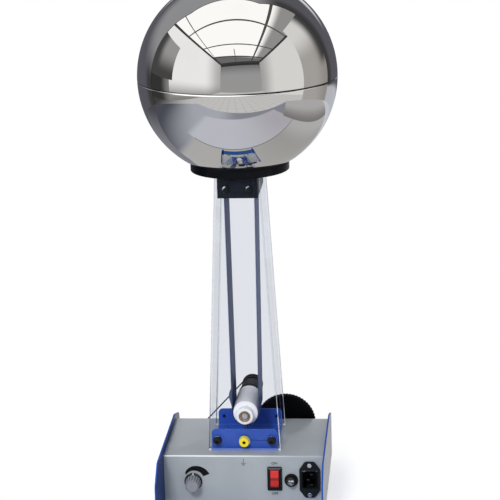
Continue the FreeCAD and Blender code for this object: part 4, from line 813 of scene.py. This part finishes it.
def charging_belt():
    """The belt's loop carried over its width: at a share v across, the slack run is pushed out by
    slack * (1 - v * v), most a little above the lower roller, and its two edges round off."""
    count = 900
    line, normal, _ = loop_line((0, lower_axis), belt_outer_low - belt_sheet / 2,
                                (0, upper_axis), belt_outer_high - belt_sheet / 2, count)
    half = (belt_high.y - belt_low.y) / 2
    middle = (belt_high.y + belt_low.y) / 2
    columns = 13
    slack_depth, slack_rise, slack_reach = 6.0 * MM, 15 * MM, 9 * MM
    across = np.linspace(-1, 1, columns)
    edge = np.radians(np.linspace(90, -90, 5))[1:-1]
    v = np.concatenate([across, 1 + np.cos(edge) * belt_sheet / 2 / half,
                        across[::-1], -1 - np.cos(edge) * belt_sheet / 2 / half])
    lift = np.concatenate([np.full(columns, 0.5), 0.5 * np.sin(edge), np.full(columns, -0.5),
                           -0.5 * np.sin(edge)]) * belt_sheet
    rise = (line[:, 1] - lower_axis - slack_rise) / slack_reach
    slack = slack_depth * np.exp(-rise ** 2)
    slack = np.where(line[:, 0] < 0, slack, 0.0)
    push = lift[None, :] + slack[:, None] * np.clip(1 - v ** 2, 0, 1)[None, :]
    push = np.minimum(push, 0.5 * belt_sheet + slack[:, None])
    x = line[:, 0, None] + normal[:, 0, None] * push
    z = line[:, 1, None] + normal[:, 1, None] * push
    y = np.broadcast_to(middle + v * (half - belt_sheet / 2), x.shape)
    return grid_mesh("belt_strip", np.stack([x, y, z], axis=2), loop_u=True, loop_v=True)


def drive_cord():
    """Two round strands twisted about the cord's line: strand k lies at the line plus
    twist * (cos(a) * outward normal + sin(a) * axis of the pulleys), with a = turns * s + k pi."""
    low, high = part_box("drive_cord")
    roller = centre_of("roller_pulley")
    motor = centre_of("motor_pulley")
    radius = (high.y - low.y) / 2
    big = high.z - roller[2] - radius
    small = motor[2] - low.z - radius
    plane = (low.y + high.y) / 2
    count = 1500
    lay = 7.2 * MM
    line, normal, total = loop_line((roller[0], roller[2]), big, (motor[0], motor[2]), small,
                                    count)
    turns = round(total / lay)
    strand = 0.53 * radius
    twist = radius - strand
    s = np.linspace(0, 2 * math.pi, count, endpoint=False)
    ring = np.linspace(0, 2 * math.pi, 8, endpoint=False)
    meshes = []
    for k in range(2):
        phase = turns * s + k * math.pi
        out = twist * np.cos(phase)[:, None] + strand * np.cos(ring)[None, :]
        side = twist * np.sin(phase)[:, None] + strand * np.sin(ring)[None, :]
        x = line[:, 0, None] + normal[:, 0, None] * out
        z = line[:, 1, None] + normal[:, 1, None] * out
        points = np.stack([x, plane + side, z], axis=2)
        meshes.append(grid_mesh("strand", points, loop_u=True, loop_v=True))
    work = bmesh.new()
    for mesh in meshes:
        work.from_mesh(mesh)
    return mesh_of(work, "twisted_cord")


piece("belt_strip", charging_belt(), "base", "belt_rubber", ["charging_belt"])
piece("twisted_cord", drive_cord(), "base", "cord_rubber", ["drive_cord"])


# ---------------------------------------------------------------- sheet metal and column
for node, edge in [("chassis_cover", 0.30), ("left_end_plate", 0.45), ("right_end_plate", 0.45),
                   ("column_tray", 0.35), ("column_front_wall", 0.25), ("column_rear_wall", 0.25),
                   ("column_left_wall", 0.25), ("column_right_wall", 0.25), ("head_block", 0.5),
                   ("switch_housing", 0.3), ("mains_inlet", 0.4), ("speed_knob", 0.2),
                   ("head_screws", 0.25), ("column_screws", 0.2), ("inlet_screws", 0.2),
                   ("switch_rocker", 0.3)]:
    dressed(node, edge * MM)


# ---------------------------------------------------------------- prints
def flat_print(name, outlines, y, depth, material):
    """Thin plates of ink in the (x, z) plane: each closed outline is filled, then thickened
    towards the viewer by a side wall."""
    work = bmesh.new()
    for outline in outlines:
        prism(work, [(x, y - depth, z) for x, z in outline], [(x, y, z) for x, z in outline])
    bmesh.ops.recalc_face_normals(work, faces=work.faces)
    bmesh.ops.triangulate(work, faces=work.faces)
    return piece(name, mesh_of(work, name), "base", "black_plastic", material=material)


panel_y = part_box("chassis_cover")[0].y
ink_depth = 0.06 * MM


def speed_scale():
    """The wedge over the knob: an arc band of thickness 0.6 + 8.4 * share ** 0.5 from left to
    right."""
    share = np.linspace(0, 1, 48)
    start, sweep = 147, 125
    angle = np.radians(start - sweep * share)
    inner = 12.4 * MM
    outer = inner + (0.6 + 8.4 * share ** 0.5) * MM
    centre = np.array([knob[0] + 1.2 * MM, knob[2] + 2.0 * MM])
    ray = np.stack([np.cos(angle), np.sin(angle)], 1)
    return [np.vstack([centre + outer[:, None] * ray, (centre + inner * ray)[::-1]])]


def earth_symbol():
    """A stem over three bars, each shorter than the one above."""
    x, top, foot = -0.5 * MM, 66.0 * MM, 60.0 * MM
    thick = 0.55 * MM
    pitch = 1.7 * MM
    bars = [(x - thick / 2, x + thick / 2, foot, top)]
    for i, half in enumerate((3.4, 2.2, 1.0)):
        z = foot - i * pitch
        bars.append((x - half * MM, x + half * MM, z - thick, z))
    return [np.array([(a, c), (b, c), (b, d), (a, d)]) for a, b, c, d in bars]


def words(name, text, x, z, height):
    """Lettering as a thin mesh, centred on x with its foot at z."""
    curve = bpy.data.curves.new(name, "FONT")
    curve.body = text
    capital = 0.70    # height of a capital letter in a font of size 1
    curve.size = height / capital
    curve.align_x = "CENTER"
    curve.extrude = ink_depth / 2
    curve.resolution_u = 3
    curve.offset = 0.08 * MM
    letters = bpy.data.objects.new(name + "_curve", curve)
    bpy.context.scene.collection.objects.link(letters)
    bpy.context.view_layer.update()
    mesh = bpy.data.meshes.new_from_object(letters)
    bpy.data.objects.remove(letters)
    mesh.transform(Matrix.Translation((x, panel_y - ink_depth / 2, z))
                   @ Matrix.Rotation(math.radians(90), 4, "X"))
    return piece(name, mesh, "base", "black_plastic", material=black_ink, crease=20)


flat_print("speed_scale", speed_scale(), panel_y, ink_depth, black_ink)
flat_print("earth_sign", earth_symbol(), panel_y, ink_depth, black_ink)
switch_low, switch_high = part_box("switch_housing")
switch_x = (switch_low.x + switch_high.x) / 2
letter_height = 3.4 * MM
words("on_print", "ON", switch_x, switch_high.z + 3.0 * MM, letter_height)
words("off_print", "OFF", switch_x, switch_low.z - 6.6 * MM, letter_height)


def knob_pointer():
    """The pale line over the knob's skirt: its outline in the (y, z) plane runs along the skirt's
    slope and rim and back a little lower, and is given its width along x."""
    back = knob_high.y
    over = 0.06 * MM
    path = np.array([(back - 3.7 * MM, 9.75 * MM), (back - 1.65 * MM, 11.45 * MM),
                     (back - 0.3 * MM, 11.5 * MM)])
    line = np.vstack([path + (0, over), (path - (0, 0.3 * MM))[::-1]]) + (0, knob[2])
    half = 0.55 * MM
    rows = np.array([-half, half])
    points = np.empty((2, len(line), 3))
    points[:, :, 0] = knob[0] + rows[:, None]
    points[:, :, 1:] = line
    work = bmesh.new()
    prism(work, points[0], points[1])
    bmesh.ops.recalc_face_normals(work, faces=work.faces)
    mesh = mesh_of(work, "knob_pointer")
    return piece("knob_pointer", mesh, "knob", "cap_grey", material=pale_ink)


knob_pointer()


# ---------------------------------------------------------------- every other CAD node
for row in frame["record"]["subparts"]:
    node = frame["nodes"][row["node"]]
    if not node.hide_render:
        node.data.materials.clear()
        node.data.materials.append(finish_of.get(row["node"], looks[row["material_slot"]]))


# ---------------------------------------------------------------- floor, room and camera
def floor_paint():
    """A pale table top that fades to white away from the object and keeps its shadow. In a mirror
    it shows painted tones that glow by emission, a painted reflection: a pale mat round the foot, a
    white sheet before it, a blue-grey top that darkens towards the back, and a blue strip before
    the chassis, with nothing beyond the table's front edge."""
    p = paint("pale_floor")
    x, y, z = p.axes(p.place())
    table = p.shader((0.82, 0.82, 0.835), 0.9, Specular_IOR_Level=0.0)
    lifted = p.node("ShaderNodeAddShader", None, table.outputs[0],
                    p.glow((1, 1, 1), 0.38).outputs[0])
    radius = (x * x + y * y).root()
    faded = p.blend(radius.fade(0.05, 0.23), lifted, p.glow((1, 1, 1)))
    top = p.mix((y - x).fade(-0.1, 1.3), (0.45, 0.47, 0.53), (0.08, 0.085, 0.11))
    top = p.mix(x.fade(-0.3, 0.1), top, (0.27, 0.285, 0.33))
    sheet = p.mix(x.fade(-0.1, 0.6), (0.58, 0.595, 0.665), (0.48, 0.47, 0.52))
    mat = p.mix(x.fade(-0.2, 0.5), (0.49, 0.485, 0.48), (0.385, 0.375, 0.37))
    mat = p.mix(x.fade(0.35, 0.65), mat, (0.50, 0.495, 0.49))
    on_mat = (y > -0.165) * x.fade(-0.46, -0.36)
    on_sheet = y.fade(-0.158, -0.170) * y.fade(-0.75, -0.70) * x.fade(-0.56, -0.42)
    tone = p.mix(on_mat, top, mat)
    tone = p.mix(on_sheet * (x < 0.76), tone, sheet)
    mat_edge = (y + 0.164).size().fade(0.007, 0.003) * (x + 0.40 > 0.0)
    tone = p.mix(mat_edge, tone, (0.17, 0.17, 0.19))
    drape = p.mix(x.fade(0.70, 1.15), (0.23, 0.215, 0.215), (0.48, 0.475, 0.475))
    tone = p.mix((x > 0.72) * (y + x * 0.56 > 0.0), tone, drape)
    tone = p.mix((y + x * 0.35 > 1.24) * (x > 0.0), tone, (0.62, 0.64, 0.70))
    tone = p.mix((y > 0.42) * (y * 0.42 - x > 0.5), tone,
                 p.mix(x.fade(-1.3, -0.35), (0.075, 0.075, 0.09), (0.24, 0.245, 0.28)))
    # painted reflection: a blue strip in front of the chassis, seen only in glossy rays
    strip = (y > -0.135) * (y < -0.078) * (x.size() < 0.104)
    tone = p.mix(strip, tone, (0.025, 0.085, 0.270))
    # glossy rays see the painted tones glowing by emission
    mirrored = p.blend(y - x * 0.19 < -0.95, p.glow(tone), p.node("ShaderNodeBsdfTransparent"))
    lit = p.blend(p.ray("Camera", "Transmission"), table, faded)
    return p.finish(p.blend(p.ray("Glossy"), lit, mirrored))


def floor():
    """A flat disc under the feet."""
    radius, corners = 1.5, 96
    angle = np.linspace(0, 2 * math.pi, corners, endpoint=False)
    rim = np.stack([radius * np.cos(angle), radius * np.sin(angle), 0 * angle], 1)
    mesh = bpy.data.meshes.new("floor")
    mesh.from_pydata(rim.tolist(), [], [tuple(range(corners))])
    obj = bpy.data.objects.new("floor", mesh)
    mesh.materials.append(floor_paint())
    bpy.context.scene.collection.objects.link(obj)


def studio():
    """The world. Camera and transmission rays see white. Diffuse rays see a soft sky, brighter
    above. Glossy rays see a studio room worked out from the direction (x, y, z) alone: each flat
    surface of the room has a nearness, the reciprocal of the distance along the ray, and the
    greatest nearness is the surface that the ray meets."""
    world = bpy.data.worlds.new("studio")
    bpy.context.scene.world = world
    p = Paint(world)
    x, y, z = p.axes(p.node("ShaderNodeTexCoord").outputs["Generated"])
    over = z.most(0.0001)
    under = (-z).most(0.0001)
    far = (x * 0.22 - y) / 2.28
    left = (x + y * 0.241) / -1.18
    right = (x / 1.27).most((x / 1.05) * (y + x * 0.07 > 0.0))
    walls = far.most(left).most(right)
    height = z / walls.most(0.0001)
    px = x / over
    py = y / over
    across = ((py - px * 0.08 + 0.26).size() < 0.020).most((py - px * 0.07 + 0.985).size() < 0.022)
    across = across.most((py - px * 0.05 + 1.64).size() < 0.050)
    along = ((px + py * 0.105 + 0.87).size() < 0.012).most((px + py * 0.14 - 0.565).size() < 0.030)
    along = along.most(((px + py * 0.138 + 0.13).size() < 0.012) * (py < -1.2))
    panes = p.mix((px + py * 0.14).fade(0.58, 0.80), (1.20, 1.20, 1.19), (0.33, 0.33, 0.325))
    panes = p.mix(py.fade(-1.60, -1.72), panes, (0.17, 0.17, 0.172))
    lit = p.mix(across.most(along), panes, (0.09, 0.09, 0.092))
    far_wall = p.mix(height.fade(0.35, 0.95), (0.37, 0.37, 0.375), (0.19, 0.19, 0.195))
    far_wall = p.mix(height > 0.86, far_wall, (0.035, 0.035, 0.037))
    left_wall = p.mix((left - far).fade(0.0, 0.32), (0.52, 0.52, 0.515), (1.0, 1.0, 1.0))
    left_wall = p.mix(z.fade(0.05, -0.30), left_wall, (0.26, 0.255, 0.25))
    shelf = (y + x * 0.384 < 0.0) * (y - x * 0.287 > 0.0) * (z > -0.01) * (z + x * 0.57 < 0.0)
    board_tone = p.mix(z.fade(0.06, 0.36), (0.07, 0.07, 0.07), (0.36, 0.36, 0.358))
    board_tone = p.mix(y.fade(0.05, 0.24), board_tone, (0.07, 0.07, 0.072))
    left_wall = p.mix(shelf, left_wall, board_tone)
    left_wall = p.mix((z < -0.01) * (y - x * 0.2 > 0.0), left_wall,
                      p.mix(y.fade(-0.20, 0.05), (0.26, 0.26, 0.255), (0.04, 0.04, 0.04)))
    right_wall = p.mix((right - far).fade(0.0, 0.25), (0.44, 0.44, 0.438), (0.80, 0.80, 0.79))
    drape = p.mix(z.fade(0.20, 0.55), (0.44, 0.425, 0.41), (0.78, 0.77, 0.76))
    drape = p.mix((y - x * 0.35).fade(-0.1, 0.35) * z.fade(0.45, 0.15), drape, (0.33, 0.31, 0.29))
    dark_fold = (y - x * 0.85).fade(-0.40, -0.08) * z.fade(-0.02, 0.12)
    drape = p.mix(dark_fold, drape, (0.06, 0.06, 0.06))
    right_wall = p.mix(y + x * 0.07 > 0.0, right_wall, drape)
    wall = p.mix(far > left.most(right), p.mix(right > left, left_wall, right_wall), far_wall)
    room = p.mix(z > walls, wall, lit)
    corner = ((z - walls).size() < 0.022) * (y + x.size() * 0.07 < 0.0).most(x < 0.0) * (z > 0.02)
    room = p.mix(corner, room, (0.05, 0.05, 0.052))
    tiles = ((x / under * 19.0).wave() > 0.98).most((y / under * 19.0).wave() > 0.98)
    ground = p.mix(tiles, (0.65, 0.645, 0.64), (0.50, 0.49, 0.48))
    ground = p.mix(((y - x) / under).fade(0.0, 3.8), ground, (0.06, 0.06, 0.062))
    open_floor = 1.0 - (y + x * 0.07 > 0.0) * (x > 0.0)
    room = p.mix((-z / 0.37 > walls) * open_floor, room, ground)
    rear = (y - z * 0.28).least(y + x * 0.36).least(y - x * 0.85)
    dusk = p.mix(rear.fade(0.10, 0.30), (0.055, 0.053, 0.055), (0.105, 0.106, 0.124))
    dusk = p.mix((z - x * 0.6).fade(0.45, 0.85), dusk, (0.32, 0.325, 0.34))
    dusk = p.mix(rear.fade(0.03, 0.0), dusk, (0.016, 0.016, 0.017))
    dusk = p.mix(z.fade(-0.19, -0.23) * (x > 0.0), dusk, (0.53, 0.545, 0.60))
    dusk = p.mix(y.fade(0.91, 0.95) * z.fade(0.05, 0.15), dusk, (0.72, 0.73, 0.75))
    room = p.mix(rear > 0.0, room, dusk)
    soft = p.mix(z.fade(-0.2, 0.9), (0.60, 0.61, 0.64), (1.62, 1.62, 1.60))
    soft = p.mix(x.fade(-0.2, 0.9), soft, (0.62, 0.63, 0.66))
    white = p.node("ShaderNodeBackground", None, (1, 1, 1), 1.0)
    sky = p.node("ShaderNodeBackground", None, soft, 0.62)
    inside = p.node("ShaderNodeBackground", None, room, 1.0)
    shiny = p.blend(p.ray("Glossy"), sky, inside)
    p.finish(p.blend(p.ray("Camera", "Transmission"), shiny, white))


def softbox(name, place, aim, size, power):
    """A square lamp that points at a spot."""
    lamp = bpy.data.lights.new(name, "AREA")
    lamp.size = size
    lamp.energy = power
    obj = bpy.data.objects.new(name, lamp)
    obj.location = place
    obj.rotation_euler = (Vector(aim) - Vector(place)).to_track_quat("-Z", "Y").to_euler()
    obj.visible_glossy = False
    bpy.context.scene.collection.objects.link(obj)


def camera():
    """The viewpoint: place, heading, tilt and roll of the lens axis, and its focal length."""
    place = Vector((0.2209, -2.35228, 0.95888))
    heading = math.radians(5.13)
    tilt = math.radians(15.04)
    lean = math.radians(-1.61)
    ahead = Vector((-math.sin(heading) * math.cos(tilt), math.cos(heading) * math.cos(tilt),
                    -math.sin(tilt)))
    side = Vector((math.cos(heading), math.sin(heading), 0))
    up = side.cross(ahead)
    across = math.cos(lean) * side + math.sin(lean) * up
    upright = -math.sin(lean) * side + math.cos(lean) * up
    lens = bpy.data.cameras.new("camera")
    lens.lens = 137.905
    lens.sensor_width = 36.0
    lens.sensor_fit = "HORIZONTAL"
    lens.clip_end = 50.0
    obj = bpy.data.objects.new("camera", lens)
    turn = Matrix((across, upright, -ahead)).transposed().to_4x4()
    obj.matrix_world = Matrix.Translation(place) @ turn
    bpy.context.scene.collection.objects.link(obj)
    bpy.context.scene.camera = obj


floor()
studio()
softbox("key_lamp", place=(-0.42, -2.1, 1.60), aim=(0.0, 0.0, 0.2), size=0.42, power=31.0)
camera()
bpy.context.scene.view_settings.view_transform = "Standard"

bpy.context.view_layer.update()
